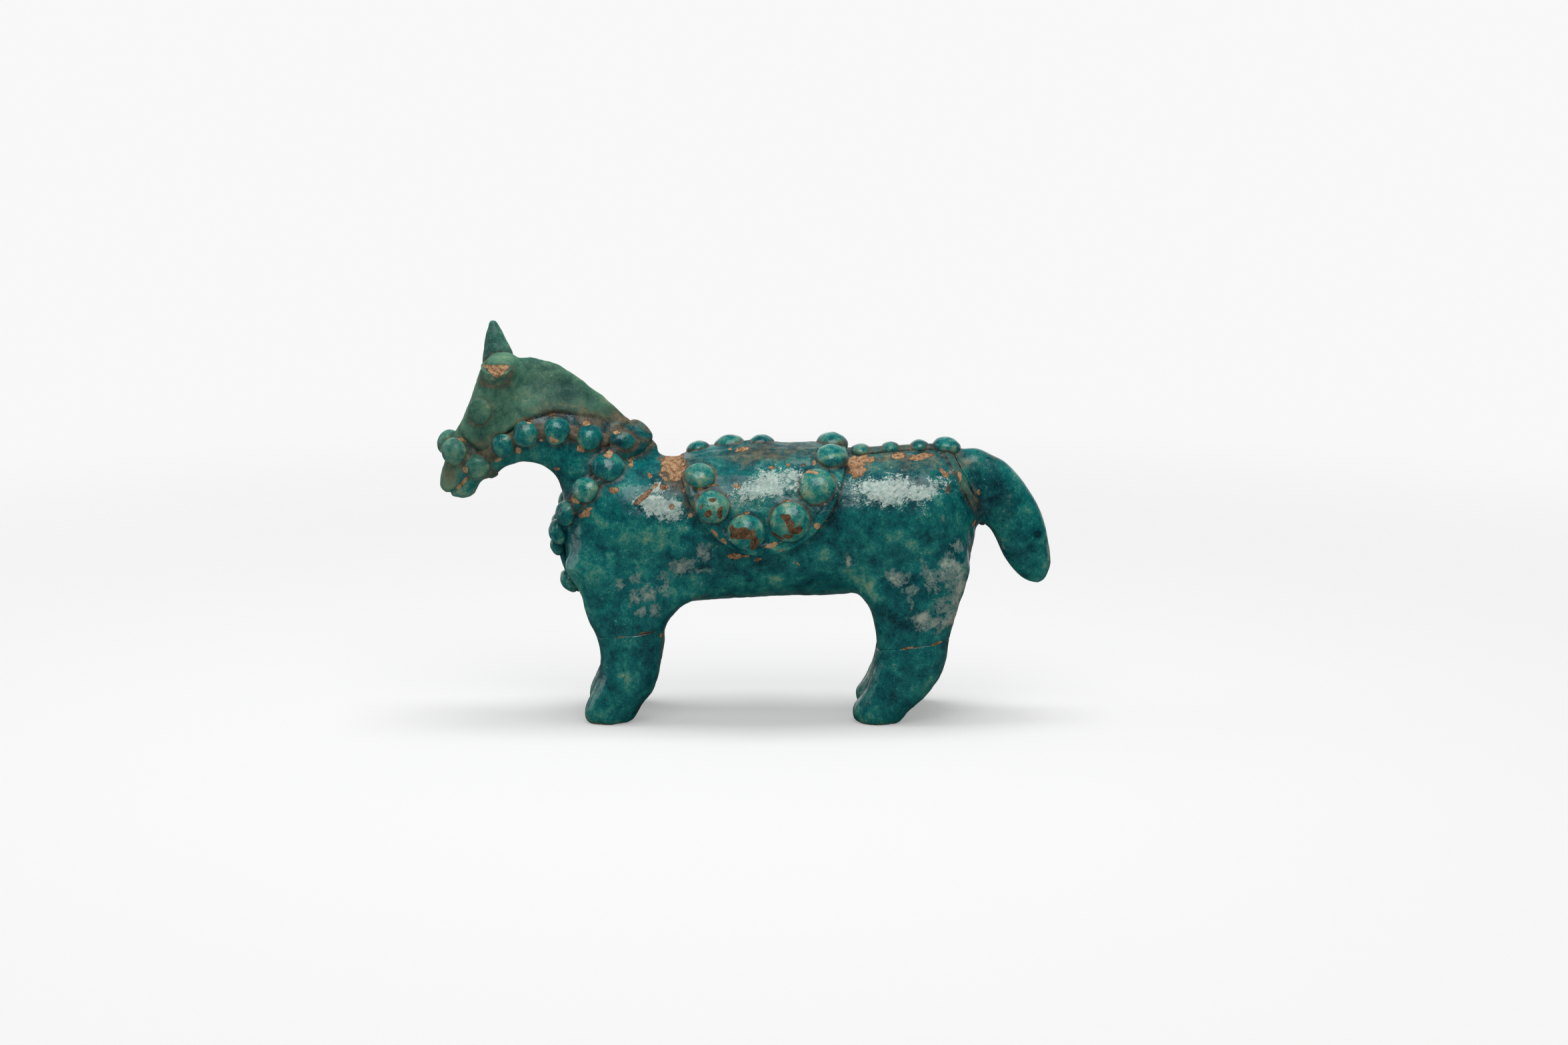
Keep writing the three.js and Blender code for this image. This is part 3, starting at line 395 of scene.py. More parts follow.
# How near points of the picture lie to a broken line, as 1 on it and 0 at the given width
def near_line(places, line, width):
    best = np.full(len(places), np.inf)
    for start, end in zip(line, line[1:]):
        start = np.array(start)
        run = np.array(end) - start
        share = np.clip((places - start) @ run / (run @ run), 0, 1)
        best = np.minimum(best, np.linalg.norm(places - start - share[:, None] * run, axis=1))
    return np.clip(1 - best / width, 0, 1)


# The stump's broken face, seen from the left: its top edge, and its lower edge as across and up
BROKEN_TOP = 108.5
BROKEN_LOW = [(-78.6, 108.2), (-76.7, 106.7), (-75.4, 105.2), (-74.0, 104.6), (-72.5, 105.8), (-70.6, 108.3)]
BROKEN_EDGE = 0.3  # how softly the face ends


def broken_face(points):
    places = picture(points)
    low = np.interp(places[:, 0], *np.array(BROKEN_LOW).T, left=120, right=120)
    below_top = np.clip((BROKEN_TOP - places[:, 1]) / BROKEN_EDGE + 0.5, 0, 1)
    above_low = np.clip((places[:, 1] - low) / BROKEN_EDGE + 0.5, 0, 1)
    return below_top * above_low * (points[:, 1] < -1 * MM)


points = points_of(body)
push_out(body, -0.45 * MM * broken_face(points) * (0.7 + 0.5 * waves(points, 1.6 * MM, 31)))

# The mouth: one cut of the tool, drawn in from the lips, and a notch under the upper lip
MOUTH = [(-83.4, 74.4), (-86.0, 71.6), (-89.0, 69.6)]
points = points_of(body)
mouth = near_line(picture(points), MOUTH, 0.9) * (points[:, 0] < -70 * MM) * (points[:, 2] < 80 * MM)
inward = 0.8 * np.sign(points[:, 1]) * np.clip(np.abs(points[:, 1]) / (2 * MM), 0, 1)
points[:, 1] -= inward * mouth * MM
points[:, 0] += 0.7 * mouth * np.clip(1 - np.abs(points[:, 1]) / (6 * MM), 0, 1) * MM
points[:, 2] += 0.5 * mouth * MM
set_points(body, points)

# The wear of centuries in the ground, as it lies on the left side, with painted highlight among the white
# streaks. For each kind: the place as it is seen from the left and half its length and height, in
# millimetres, its turn in degrees, and its strength
WEAR = {
    # glaze gone, down to the tan clay
    "bare": [
        (-21.6, 79.2, 4.4, 3.2, 0, 1.4),
        (-20.5, 76.2, 2.6, 2.2, 0, 1.2),
        (-30.4, 68.9, 3.6, 0.7, 40, 1.5),
        (-24.5, 75.0, 1.8, 0.6, -40, 1.4),
        (-28.5, 75.7, 0.8, 0.8, 0, 1.3),
        (-24.0, 72.0, 1.4, 1.0, -30, 1.2),
        (-26.8, 72.2, 1.3, 0.6, 30, 1.2),
        (-22.2, 65.6, 0.8, 1.0, 0, 1.1),
        (33.4, 77.6, 2.6, 3.4, 0, 1.5),
        (36.5, 80.1, 3.0, 1.0, 0, 1.4),
        (46.2, 81.0, 2.8, 1.1, 15, 1.2),
        (52.6, 81.0, 4.0, 0.9, 8, 1.3),
        (59.7, 76.1, 2.0, 0.7, -45, 1.5),
        (64.5, 74.8, 0.9, 1.8, 15, 1.2),
        (70.2, 70.2, 0.7, 1.2, 30, 1.3),
        (69.0, 61.2, 1.3, 0.7, 40, 1.2),
        (-18.1, 71.0, 0.6, 1.2, 0, 1.2),
        (-16.3, 63.6, 0.8, 1.0, 20, 1.4),
        (-2.2, 72.1, 1.2, 0.6, 0, 1.3),
        (-9.8, 72.2, 2.6, 0.5, 0, 1.1),
        (-13.5, 71.2, 1.4, 0.6, 0, 1.1),
        (8.0, 77.6, 1.4, 0.6, 0, 1.2),
        (13.2, 78.4, 0.8, 0.5, 0, 1.2),
        (17.5, 78.6, 1.0, 0.5, 0, 1.2),
        (12.5, 67.8, 1.1, 0.4, 0, 1.3),
        (0.8, 64.1, 1.3, 0.5, 0, 1.3),
        (20.7, 79.4, 0.9, 0.9, 0, 1.2),
        (20.4, 76.1, 2.6, 0.5, 0, 1.2),
        (21.7, 60.4, 1.2, 1.1, 30, 1.5),
        (7.8, 54.4, 2.9, 0.7, 15, 1.3),
        (-8.9, 57.9, 2.2, 0.6, -50, 1.4),
        (-6.4, 55.7, 1.8, 0.6, -38, 1.3),
        (-3.0, 51.1, 2.3, 1.0, 0, 1.6),
        (0.4, 51.2, 1.6, 0.5, 0, 1.2),
        (4.0, 50.1, 1.2, 0.7, 0, 1.4),
        (16.0, 48.8, 1.6, 0.5, -55, 1.1),
        (11.0, 52.8, 1.3, 0.4, 0, 1.0),
        (-1.0, 83.1, 2.6, 0.8, 5, 1.2),
        (-4.0, 83.7, 1.1, 0.5, 0, 1.2),
        (-57.5, 93.7, 1.5, 0.6, 0, 1.3),
        (-47.5, 91.0, 1.7, 0.8, 0, 1.4),
        (-38.5, 88.0, 1.6, 0.5, 0, 1.2),
        (-49.4, 83.5, 1.5, 1.1, -35, 1.5),
        (-57.5, 86.0, 1.8, 0.8, -25, 1.4),
        (-61.2, 86.0, 1.2, 0.5, 0, 1.2),
        (-67.5, 83.0, 1.3, 1.1, 30, 1.4),
        (-73.8, 79.8, 1.8, 1.1, 0, 1.3),
        (-64.5, 91.7, 1.4, 0.5, 0, 1.2),
        (-56.0, 77.2, 1.0, 0.7, 0, 1.4),
        (-41.0, 81.7, 1.6, 0.8, 0, 1.4),
        (-34.2, 79.0, 0.7, 1.5, 0, 1.3),
        (-39.2, 71.0, 1.4, 1.0, 0, 1.5),
        (-83.7, 77.2, 1.1, 1.4, 20, 1.4),
        (-84.8, 86.2, 1.7, 0.6, -30, 1.3),
        (-48.3, 63.6, 2.1, 1.1, 20, 1.5),
        (-51.0, 68.0, 1.9, 1.0, -20, 1.3),
        (-46.8, 65.4, 1.3, 0.6, 20, 1.2),
        (-25.0, 27.4, 0.6, 0.9, 0, 1.2),
        (49.0, 23.5, 2.6, 0.45, 8, 1.3),
        (57.6, 24.9, 2.6, 0.5, 12, 1.4),
        (-30.0, 28.2, 2.6, 0.3, 10, 1.0),
        (-43.5, 0.7, 3.5, 0.7, 0, 1.2),
    ],
    # brown clay on the flap's pellets, never covered
    "raw": [
        (-9.7, 68.0, 1.3, 0.7, 0, 1.3),
        (-7.4, 64.2, 0.9, 1.9, -10, 1.4),
        (-11.2, 63.6, 1.0, 1.3, 0, 1.3),
        (-12.7, 66.0, 0.5, 1.3, -20, 1.1),
        (-2.4, 57.7, 2.2, 1.7, 0, 1.4),
        (0.6, 57.6, 3.0, 1.9, 0, 1.5),
        (2.7, 54.6, 1.7, 2.4, 0, 1.5),
        (12.0, 62.9, 2.2, 1.2, -20, 1.4),
        (13.9, 60.0, 1.0, 2.3, 10, 1.4),
        (16.2, 59.2, 2.3, 1.4, 20, 1.4),
        (13.2, 57.2, 1.9, 0.9, 0, 1.2),
        (9.8, 57.2, 2.3, 0.7, -25, 1.2),
    ],
    # worn white in streaks along the back, and painted highlight in the same streaks
    "frost": [
        (-26.3, 66.0, 7.0, 3.2, -22, 1.45),
        (-25.5, 71.5, 4.0, 2.2, 0, 0.85),
        (6.0, 71.6, 10.5, 3.8, 10, 1.2),
        (13.0, 75.6, 5.0, 2.0, 10, 1.0),
        (45.0, 71.2, 16.0, 4.2, 3, 1.1),
        (54.0, 70.4, 5.0, 3.4, 0, 1.2),
    ],
    # weathered to grey flakes
    "dust": [
        (-12.6, 52.4, 3.4, 3.2, 0, 1.19),
        (-18.5, 48.2, 4.0, 3.4, 20, 1.01),
        (-14.0, 46.8, 4.5, 1.6, 0, 0.84),
        (-33.0, 45.0, 3.4, 3.8, 0, 0.86),
        (-37.2, 42.4, 2.3, 2.3, 0, 1.01),
        (-33.0, 38.4, 2.8, 3.2, 0, 1.07),
        (-29.2, 40.0, 3.6, 3.6, 0, 1.01),
        (-31.5, 34.0, 2.4, 1.8, 0, 1.07),
        (-26.8, 35.0, 2.2, 3.4, 0, 0.95),
        (-25.0, 42.5, 3.4, 4.4, 0, 0.77),
        (46.0, 43.8, 3.8, 3.2, 0, 1.10),
        (50.2, 41.0, 3.2, 2.8, 0, 0.90),
        (57.0, 44.0, 3.8, 4.6, 0, 1.03),
        (61.0, 47.0, 3.4, 6.6, 0, 1.19),
        (64.2, 42.0, 3.4, 9.0, 0, 1.38),
        (59.8, 36.0, 3.8, 3.8, 0, 1.25),
        (53.0, 31.6, 3.4, 3.6, 0, 1.38),
        (58.4, 31.0, 4.4, 2.8, 0, 1.31),
        (63.0, 33.4, 2.6, 4.6, 0, 1.31),
        (50.0, 36.6, 1.0, 2.4, 0, 1.06),
        (54.0, 47.0, 3.0, 2.8, 0, 0.94),
        (63.0, 54.0, 2.4, 3.6, 0, 1.00),
        (59.6, 62.0, 1.0, 3.8, 0, 0.77),
        (67.2, 50.0, 1.8, 8.5, 0, 1.31),
        (31.2, 49.8, 0.8, 3.4, 0, 1.31),
        (91.0, 52.0, 0.6, 7.0, 5, 1.06),
    ],
    # thin and green; the crest's line and the saddle's lip also add painted highlight to this coat
    "thin": [
        (-40.6, 51.4, 1.8, 2.6, 0, 1.0),
        (-28.0, 53.6, 5.4, 4.6, 0, 1.0),
        (-19.6, 53.6, 1.8, 2.6, 0, 1.0),
        (-18.4, 59.0, 2.2, 2.0, 0, 0.8),
        (-33.0, 58.0, 6.0, 3.5, 0, 0.45),
        (-26.5, 57.5, 5.0, 3.4, 0, 0.8),
        (-33.0, 49.6, 1.5, 1.0, 0, 0.8),
        (24.2, 51.0, 3.6, 2.4, 0, 0.9),
        (9.0, 44.8, 6.0, 1.7, 0, 0.8),
        (-9.0, 43.2, 9.0, 2.2, 0, 0.5),
        (33.0, 46.0, 4.0, 2.4, 0, 0.8),
        (5.0, 66.0, 9.0, 8.0, 0, 0.5),
        (-22.0, 46.0, 3.0, 2.0, 30, 0.5),
        (-14.0, 44.6, 6.0, 1.2, 0, 0.7),
        (29.6, 47.0, 1.4, 1.2, 0, 0.9),
        (51.0, 54.0, 2.0, 2.0, 0, 0.5),
        (36.6, 52.6, 3.4, 1.6, 0, 0.5),
        (-31.0, 61.0, 2.6, 1.4, 0, 0.4),
        (-44.6, 61.0, 3.0, 1.4, 0, 0.35),
        (-36.0, 12.0, 2.4, 9.0, 8, 0.6),
        (-46.0, 46.0, 4.0, 9.0, 0, 0.35),
        (36.2, 42.0, 1.8, 4.2, 40, 0.8),
        (-35.0, 20.0, 5.0, 7.0, 0, 0.35),
        (-40.4, 5.6, 1.5, 4.0, -25, 0.7),
        (15.0, 49.5, 2.0, 1.0, -40, 0.8),
        (65.5, 74.0, 1.4, 6.0, 25, 0.8),
        (-52.0, 80.5, 9.0, 3.0, 0, 0.3),
        (-62.0, 82.0, 7.0, 3.0, 0, 0.3),
        (-87.0, 76.0, 5.0, 8.0, 0, 0.75),
        (-80.0, 92.0, 5.0, 9.0, 0, 0.25),
        (-79.6, 97.0, 2.0, 2.6, 0, 0.25),
    ],
    # thick and dark
    "pool": [
        (-42.0, 12.4, 2.8, 3.0, 0, 0.7),
        (-28.6, 19.0, 2.6, 4.2, 0, 0.5),
        (-47.0, 57.0, 4.0, 4.0, 0, 0.5),
        (2.0, 47.6, 9.0, 2.6, 0, 0.8),
        (25.0, 60.0, 3.4, 9.0, 0, 0.5),
        (42.0, 35.0, 4.0, 7.0, 0, 0.7),
        (55.0, 57.0, 5.0, 5.0, 0, 0.6),
        (46.0, 52.0, 6.0, 3.4, 0, 0.5),
        (-36.0, 63.0, 6.0, 3.4, 0, 0.5),
        (-15.0, 57.0, 2.0, 5.0, 20, 0.6),
        (-22.6, 52.6, 1.6, 1.8, 0, 0.7),
        (-17.0, 62.0, 3.0, 8.0, 0, 1.0),
        (-55.0, 101.0, 15.0, 6.0, -28, 0.85),
        (87.9, 57.5, 1.1, 1.2, 0, 3.0),
        (-42.0, 79.0, 4.0, 5.0, 0, 1.1),
        (-55.0, 72.0, 2.0, 6.0, 0, 0.4),
        (-30.0, 80.0, 5.0, 5.0, 0, 0.5),
        (26.0, 66.0, 2.0, 7.0, -20, 0.8),
        (-66.0, 98.0, 6.0, 8.0, 0, 0.25),
        (-20.0, 72.0, 2.4, 6.0, 0, 0.8),
        (77.0, 70.0, 6.0, 8.0, 30, 0.5),
        (46.0, 10.0, 8.0, 9.0, 0, 0.3),
    ],
    # brown dirt
    "soil": [
        (-66.0, 91.6, 4.6, 1.6, 22, 0.8),
        (-57.0, 94.2, 6.0, 1.6, 0, 0.9),
        (-47.0, 91.8, 6.0, 1.7, -15, 0.9),
        (-37.5, 88.6, 5.0, 1.6, -14, 0.9),
        (-20.0, 75.5, 6.0, 6.0, 0, 0.8),
        (-14.0, 78.0, 3.6, 2.6, 0, 0.5),
        (-3.0, 81.4, 7.0, 2.0, 0, 0.5),
        (34.0, 79.0, 5.6, 3.4, 0, 0.7),
        (45.0, 80.4, 10.0, 1.4, 3, 0.8),
        (57.0, 79.4, 4.6, 2.4, 0, 0.5),
        (-17.4, 68.0, 2.4, 5.0, 0, 0.6),
        (16.0, 69.0, 3.0, 4.0, 0, 0.5),
        (0.0, 67.0, 7.0, 2.6, 0, 0.35),
        (65.0, 79.6, 3.4, 3.4, 0, 0.5),
        (68.2, 70.0, 1.8, 7.0, 15, 0.5),
        (-87.0, 84.0, 3.4, 5.0, 0, 0.5),
        (-88.6, 76.0, 3.4, 5.6, 0, 0.6),
        (-60.0, 100.0, 14.0, 7.0, -20, 0.22),
        (-80.0, 84.0, 5.0, 3.0, 20, 0.6),
        (61.8, 31.7, 0.8, 0.8, 0, 1.6),
        (61.3, 71.4, 1.3, 1.3, 0, 1.2),
        (5.0, 81.6, 16.0, 2.4, 3, 0.7),
        (50.0, 78.6, 16.0, 2.6, 3, 0.5),
        (-60.0, 96.0, 12.0, 2.0, 8, 0.4),
        (-44.0, 93.0, 9.0, 2.6, -14, 0.7),
        (-30.0, 86.4, 5.0, 1.2, -14, 0.6),
    ],
    # gloss worn off
    "dull": [
        (-42.0, 79.0, 5.0, 6.0, 0, 1.0),
        (-17.0, 62.0, 3.0, 8.0, 0, 1.0),
        (-42.0, 67.0, 9.0, 8.0, 0, 1.2),
        (-19.6, 68.0, 3.0, 9.0, 0, 1.2),
        (-25.0, 76.0, 7.5, 4.5, 0, 1.2),
        (4.0, 82.0, 22.0, 3.2, 0, 1.1),
        (46.0, 79.8, 20.0, 3.0, 3, 1.0),
        (-11.0, 75.0, 5.0, 4.5, 0, 1.0),
        (-4.0, 66.0, 4.5, 4.0, 0, 0.8),
        (-4.0, 74.0, 6.0, 4.0, 0, 1.0),
        (3.0, 57.0, 24.0, 9.0, 0, 0.8),
        (16.0, 70.0, 2.5, 6.0, 0, 1.0),
        (28.0, 71.0, 2.6, 9.0, 0, 1.0),
        (65.0, 71.0, 3.4, 10.0, 0, 1.0),
        (86.0, 62.0, 6.0, 14.0, 20, 0.8),
        (-56.0, 80.0, 10.0, 9.0, 0, 1.1),
        (-34.0, 82.0, 6.0, 6.0, 0, 0.7),
    ],
}
COATS = tuple(WEAR)
MOVED_BACK = 9 * MM  # how much further back the right side's wear lies than the left one's


def seen(across, up):
    aim = Vector((across * MM, 0, 0)) + (up * MM - SOLE_LINE) * upward
    return whole_skin.ray_cast(eye, aim - eye)[0]


worn_places = [(coat, seen(across, up), *rest) for coat in COATS for across, up, *rest in WEAR[coat]]


# How strongly each kind of wear, and the painted highlight in the white streaks, shows at each point. The
# edges of each place wander a little. The right side has the left one's wear, moved back
def wear(points):
    coats = {coat: np.zeros(len(points)) for coat in COATS}
    true_points = points
    nudges = np.stack([waves(points, 2.6 * MM, seed) for seed in (41, 42, 43)], axis=1)
    drifts = np.stack([waves(points, 8 * MM, seed) for seed in (44, 45, 46)], axis=1)
    for coat, place, half_length, half_height, turn, strength in worn_places:
        size = min(half_length, half_height)
        points = true_points + (min(0.22 * size, 0.45) * nudges + min(0.2 * size, 0.9) * drifts) * MM
        cosine = math.cos(math.radians(turn))
        sine = math.sin(math.radians(turn))
        for moved in (0, MOVED_BACK):
            offset = points - np.array([place.x + moved, place.y if moved == 0 else -place.y, place.z])
            along = (offset[:, 0] * cosine + offset[:, 2] * sine) / (half_length * MM)
            athwart = (offset[:, 2] * cosine - offset[:, 0] * sine) / (half_height * MM)
            deep = offset[:, 1] / ((half_length + half_height) * MM + 3 * MM)
            amount = strength * np.exp(-(along**2) - athwart**2 - deep**4)
            coats[coat] = np.maximum(coats[coat], amount)
    return coats


def paint(piece, **coats):
    for name, amounts in coats.items():
        layer = piece.data.attributes.new(name, "FLOAT", "POINT")
        layer.data.foreach_set("value", amounts.astype(np.float32))


# How far each point stands out from what is round it, towards 1, or lies back from it, towards -1
def relief_of(piece, passes, scale):
    points = points_of(piece)
    away = points - smoothed(points, edges_of(piece), passes)
    return np.clip(np.einsum("ij,ij->i", away, normals_of(piece)) / scale, -1, 1)


# The glaze: a deep alkaline copper glaze over white stonepaste, thick and dark in the hollows and thin and
# green on the high places, with shade painted into the hollows and joins and highlight painted onto the high
# places and the white streaks. It has come off in chips to the tan clay, and has weathered to a grey film.
TURQUOISE_TONES = [
    (0.10, (0.000, 0.030, 0.042)),
    (0.34, (0.000, 0.084, 0.094)),
    (0.52, (0.002, 0.136, 0.132)),
    (0.66, (0.014, 0.196, 0.168)),
    (0.82, (0.085, 0.255, 0.185)),
    (1.00, (0.220, 0.330, 0.205)),
]
PALE_TONES = [
    (0.12, (0.020, 0.074, 0.060)),
    (0.36, (0.042, 0.126, 0.088)),
    (0.56, (0.068, 0.180, 0.118)),
    (0.76, (0.118, 0.228, 0.142)),
    (1.00, (0.230, 0.300, 0.180)),
]
CLAY_TONES = [(0.62, (0.070, 0.038, 0.022)), (0.82, (0.270, 0.145, 0.075)), (1.0, (0.410, 0.280, 0.160))]
RAW_TONES = [(0.35, (0.030, 0.018, 0.010)), (0.5, (0.110, 0.060, 0.030)), (0.7, (0.240, 0.155, 0.085))]
SOIL_TONES = [(0.35, (0.046, 0.040, 0.028)), (0.52, (0.125, 0.090, 0.056)), (0.7, (0.240, 0.168, 0.105))]
DUST_TONES = [(0.57, (0.045, 0.125, 0.118)), (0.70, (0.150, 0.220, 0.195)), (0.86, (0.430, 0.450, 0.370))]
# The white streaks' tones are whitened further as painted highlight
FROST_AND_HIGHLIGHT_TONES = [(0.3, (0.150, 0.260, 0.240)), (0.5, (0.420, 0.520, 0.470)), (0.7, (0.760, 0.820, 0.730))]


def ramp(tree, value, tones):
    made = node(tree, "ValToRGB", None, {"Fac": value})
    marks = made.color_ramp.elements
    while len(marks) < len(tones):
        marks.new(0.5)
    for mark, (place, tone) in zip(marks, tones):
        mark.position = place
        mark.color = (*tone, 1)
    return made.outputs["Color"]


def sum_of(tree, *terms):
    total = None
    for value, factor in terms:
        scaled = node(tree, "Math", {"operation": "MULTIPLY"}, {0: value, 1: factor}).outputs[0]
        total = scaled if total is None else node(tree, "Math", None, {0: total, 1: scaled}).outputs[0]
    return total


def between(tree, value, low, high):
    settings = {"interpolation_type": "SMOOTHSTEP"}
    return node(tree, "MapRange", settings, {"Value": value, "From Min": low, "From Max": high}).outputs[0]


def times(tree, a, b):
    return node(tree, "Math", {"operation": "MULTIPLY"}, {0: a, 1: b}).outputs[0]


def less(tree, value, amount):
    return node(tree, "Math", {"operation": "SUBTRACT"}, {0: value, 1: amount}).outputs[0]


def inverse(tree, value):
    return less(tree, 1.0, value)


def larger(tree, a, b):
    return node(tree, "Math", {"operation": "MAXIMUM"}, {0: a, 1: b}).outputs[0]


def cloud(tree, place, size, detail=2.0, roughness=0.5):
    sockets = {"Vector": place, "Scale": 1 / size, "Detail": detail, "Roughness": roughness}
    return node(tree, "TexNoise", None, sockets).outputs[0]


# Round specks, in a share of the cells of the given size
def grains(tree, place, size, radius, share):
    dots = node(tree, "TexVoronoi", None, {"Vector": place, "Scale": 1 / size})
    disc = inverse(tree, between(tree, dots.outputs["Distance"], 0.55 * radius / size, radius / size))
    lot = node(tree, "SeparateColor", None, {0: dots.outputs["Color"]})
    chosen = node(tree, "Math", {"operation": "LESS_THAN"}, {0: lot.outputs[0], 1: share}).outputs[0]
    return times(tree, disc, chosen)


def glaze(name):
    material = bpy.data.materials.new(name)
    material.use_nodes = True
    tree = material.node_tree
    shine = tree.nodes["Principled BSDF"]
    place = node(tree, "TexCoord").outputs["Object"]
    coat = {
        key: node(tree, "Attribute", {"attribute_name": key}).outputs["Fac"]
        for key in (*COATS, "pale", "relief", "join")
    }
    # Clouds from broad to fine, and scratches that slant down the flank
    broad = cloud(tree, place, 11 * MM, 3)
    patchy = cloud(tree, place, 3.6 * MM, 3, 0.5)
    mottled = cloud(tree, place, 1.3 * MM, 3, 0.6)
    fine = cloud(tree, place, 0.45 * MM, 2)
    slant = {"Vector": place, "Rotation": (0, -0.6, 0), "Scale": (1, 0.3, 0.18)}
    brush = node(tree, "Mapping", {"vector_type": "TEXTURE"}, slant)
    scratch = cloud(tree, brush.outputs[0], 1.5 * MM, 3, 0.65)
    # How thin the glaze lies, from pools to high places, with shade painted into the hollows and joins and
    # light painted onto the high places
    tone = sum_of(
        tree,
        (broad, 0.86),
        (patchy, 0.86),
        (mottled, 0.6),
        (fine, 0.5),
        # Painted shade in the hollows and painted highlight on the high places, together with the glaze's
        # own pooling
        (coat["relief"], 0.20),
        # Painted shade round the pellets and straps, with the glaze pooled there
        (coat["join"], -0.28),
        (coat["thin"], 0.34),
        (coat["pool"], -0.22),
    )
    tone = less(tree, tone, 0.95)
    colour = blend(tree, coat["pale"], ramp(tree, tone, TURQUOISE_TONES), ramp(tree, tone, PALE_TONES))
    # Specks of frit that didn't melt, and pits
    clear_glaze = inverse(tree, times(tree, coat["pale"], 0.75))
    frit = times(tree, grains(tree, place, 0.43 * MM, 0.1 * MM, 0.4), clear_glaze)
    colour = blend(tree, times(tree, frit, 0.38), colour, (0.24, 0.42, 0.36, 1))
    pits = times(tree, grains(tree, place, 1.9 * MM, 0.3 * MM, 0.55), clear_glaze)
    colour = blend(tree, times(tree, pits, 0.8), colour, (0.010, 0.02, 0.016, 1))
    # What makes the edges of the wear ragged or flaky
    ragged = less(tree, sum_of(tree, (patchy, 0.6), (mottled, 0.8), (fine, 0.7)), 1.05)
    flaky = less(tree, sum_of(tree, (patchy, 0.8), (mottled, 0.8), (fine, 0.25)), 0.925)

    def flaked(value, share, level, width):
        return between(tree, sum_of(tree, (value, 1.0), (flaky, share)), level - width, level + width)

    # Over the glaze: dirt, the grey film, the white streaks with their painted highlight, chips to the clay,
    # and clay never covered
    soiled = times(tree, between(tree, sum_of(tree, (coat["soil"], 1.0), (ragged, 0.8)), 0.12, 0.85), 0.86)
    colour = blend(tree, soiled, colour, ramp(tree, sum_of(tree, (patchy, 0.5), (mottled, 0.5)), SOIL_TONES))
    dusty = flaked(coat["dust"], 1.9, 0.62, 0.05)
    holes = between(tree, sum_of(tree, (mottled, 0.7), (fine, 0.5), (coat["dust"], 0.1)), 0.56, 0.7)
    dusty = times(tree, dusty, sum_of(tree, (holes, 0.65), (1.0, 0.35)))
    dust_tone = sum_of(tree, (patchy, 0.3), (mottled, 0.3), (scratch, 0.35), (coat["dust"], 0.25))
    dust_tone = ramp(tree, dust_tone, DUST_TONES)
    colour = blend(tree, times(tree, dusty, 0.8), colour, dust_tone)
    # The white streaks: worn glaze, with painted highlight on top of it
    frosty_highlight = between(tree, sum_of(tree, (coat["frost"], 0.9), (ragged, 1.3), (scratch, 1.0)), 0.9, 1.2)
    frost_highlight_tone = ramp(tree, sum_of(tree, (mottled, 0.5), (scratch, 0.5)), FROST_AND_HIGHLIGHT_TONES)
    colour = blend(tree, times(tree, frosty_highlight, 0.76), colour, frost_highlight_tone)
    chipped = flaked(coat["bare"], 0.95, 0.6, 0.035)
    within = flaked(coat["bare"], 0.95, 0.72, 0.07)
    clay = sum_of(tree, (broad, 0.3), (mottled, 0.8), (fine, 0.6), (coat["thin"], 0.2))
    clay = ramp(tree, clay, CLAY_TONES)
    clay = blend(tree, within, (0.120, 0.062, 0.032, 1), clay)
    colour = blend(tree, chipped, colour, clay)
    rubbed = flaked(coat["raw"], 1.2, 0.6, 0.05)
    colour = blend(tree, rubbed, colour, ramp(tree, sum_of(tree, (mottled, 0.55), (fine, 0.45)), RAW_TONES))
    # The gloss, which the wear takes off
    open_clay = larger(tree, chipped, rubbed)
    film = larger(tree, dusty, times(tree, frosty_highlight, 0.5))
    tree.links.new(colour, shine.inputs["Base Color"])
    rough = sum_of(tree, (open_clay, 0.5), (film, 0.2), (coat["pale"], 0.3), (mottled, 0.2))
    tree.links.new(node(tree, "Math", None, {0: rough, 1: 0.28}).outputs[0], shine.inputs["Roughness"])
    gloss = times(tree, inverse(tree, open_clay), inverse(tree, times(tree, film, 0.65)))
    gloss = times(tree, gloss, inverse(tree, times(tree, coat["pale"], 0.9)))
    gloss = times(tree, gloss, inverse(tree, times(tree, coat["dull"], 0.82)))
    gloss = times(tree, gloss, inverse(tree, times(tree, soiled, 0.95)))
    worn = between(tree, sum_of(tree, (patchy, 0.35), (scratch, 0.35), (mottled, 0.3)), 0.42, 0.56)
    gloss = times(tree, gloss, sum_of(tree, (worn, 0.45), (1.0, 0.55)))
    tree.links.new(gloss, shine.inputs["Coat Weight"])
    shine.inputs["Specular IOR Level"].default_value = 0.08
    shine.inputs["Coat Roughness"].default_value = 0.07
    shine.inputs["Coat IOR"].default_value = 1.7
    # What stands out and lies in, in millimetres
    height = sum_of(
        tree,
        (patchy, 0.19),
        (mottled, 0.09),
        (fine, 0.03),
        (pits, -0.12),
        (open_clay, -0.16),
        (dusty, 0.02),
        (times(tree, scratch, frosty_highlight), 0.12),
        (times(tree, fine, open_clay), 0.16),
    )
    bump = node(tree, "Bump", None, {"Height": height, "Distance": MM, "Strength": 1.0})
    for socket in ("Normal", "Coat Normal"):
        tree.links.new(bump.outputs[0], shine.inputs[socket])
    return material


turquoise_glaze = glaze("turquoise glaze")


def finish(piece, slot, *replaced):
    piece.data.materials.clear()
    piece.data.materials.append(turquoise_glaze)
    alone(piece)
    bpy.ops.object.shade_smooth()
    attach(piece, "root")
    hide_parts(*replaced)


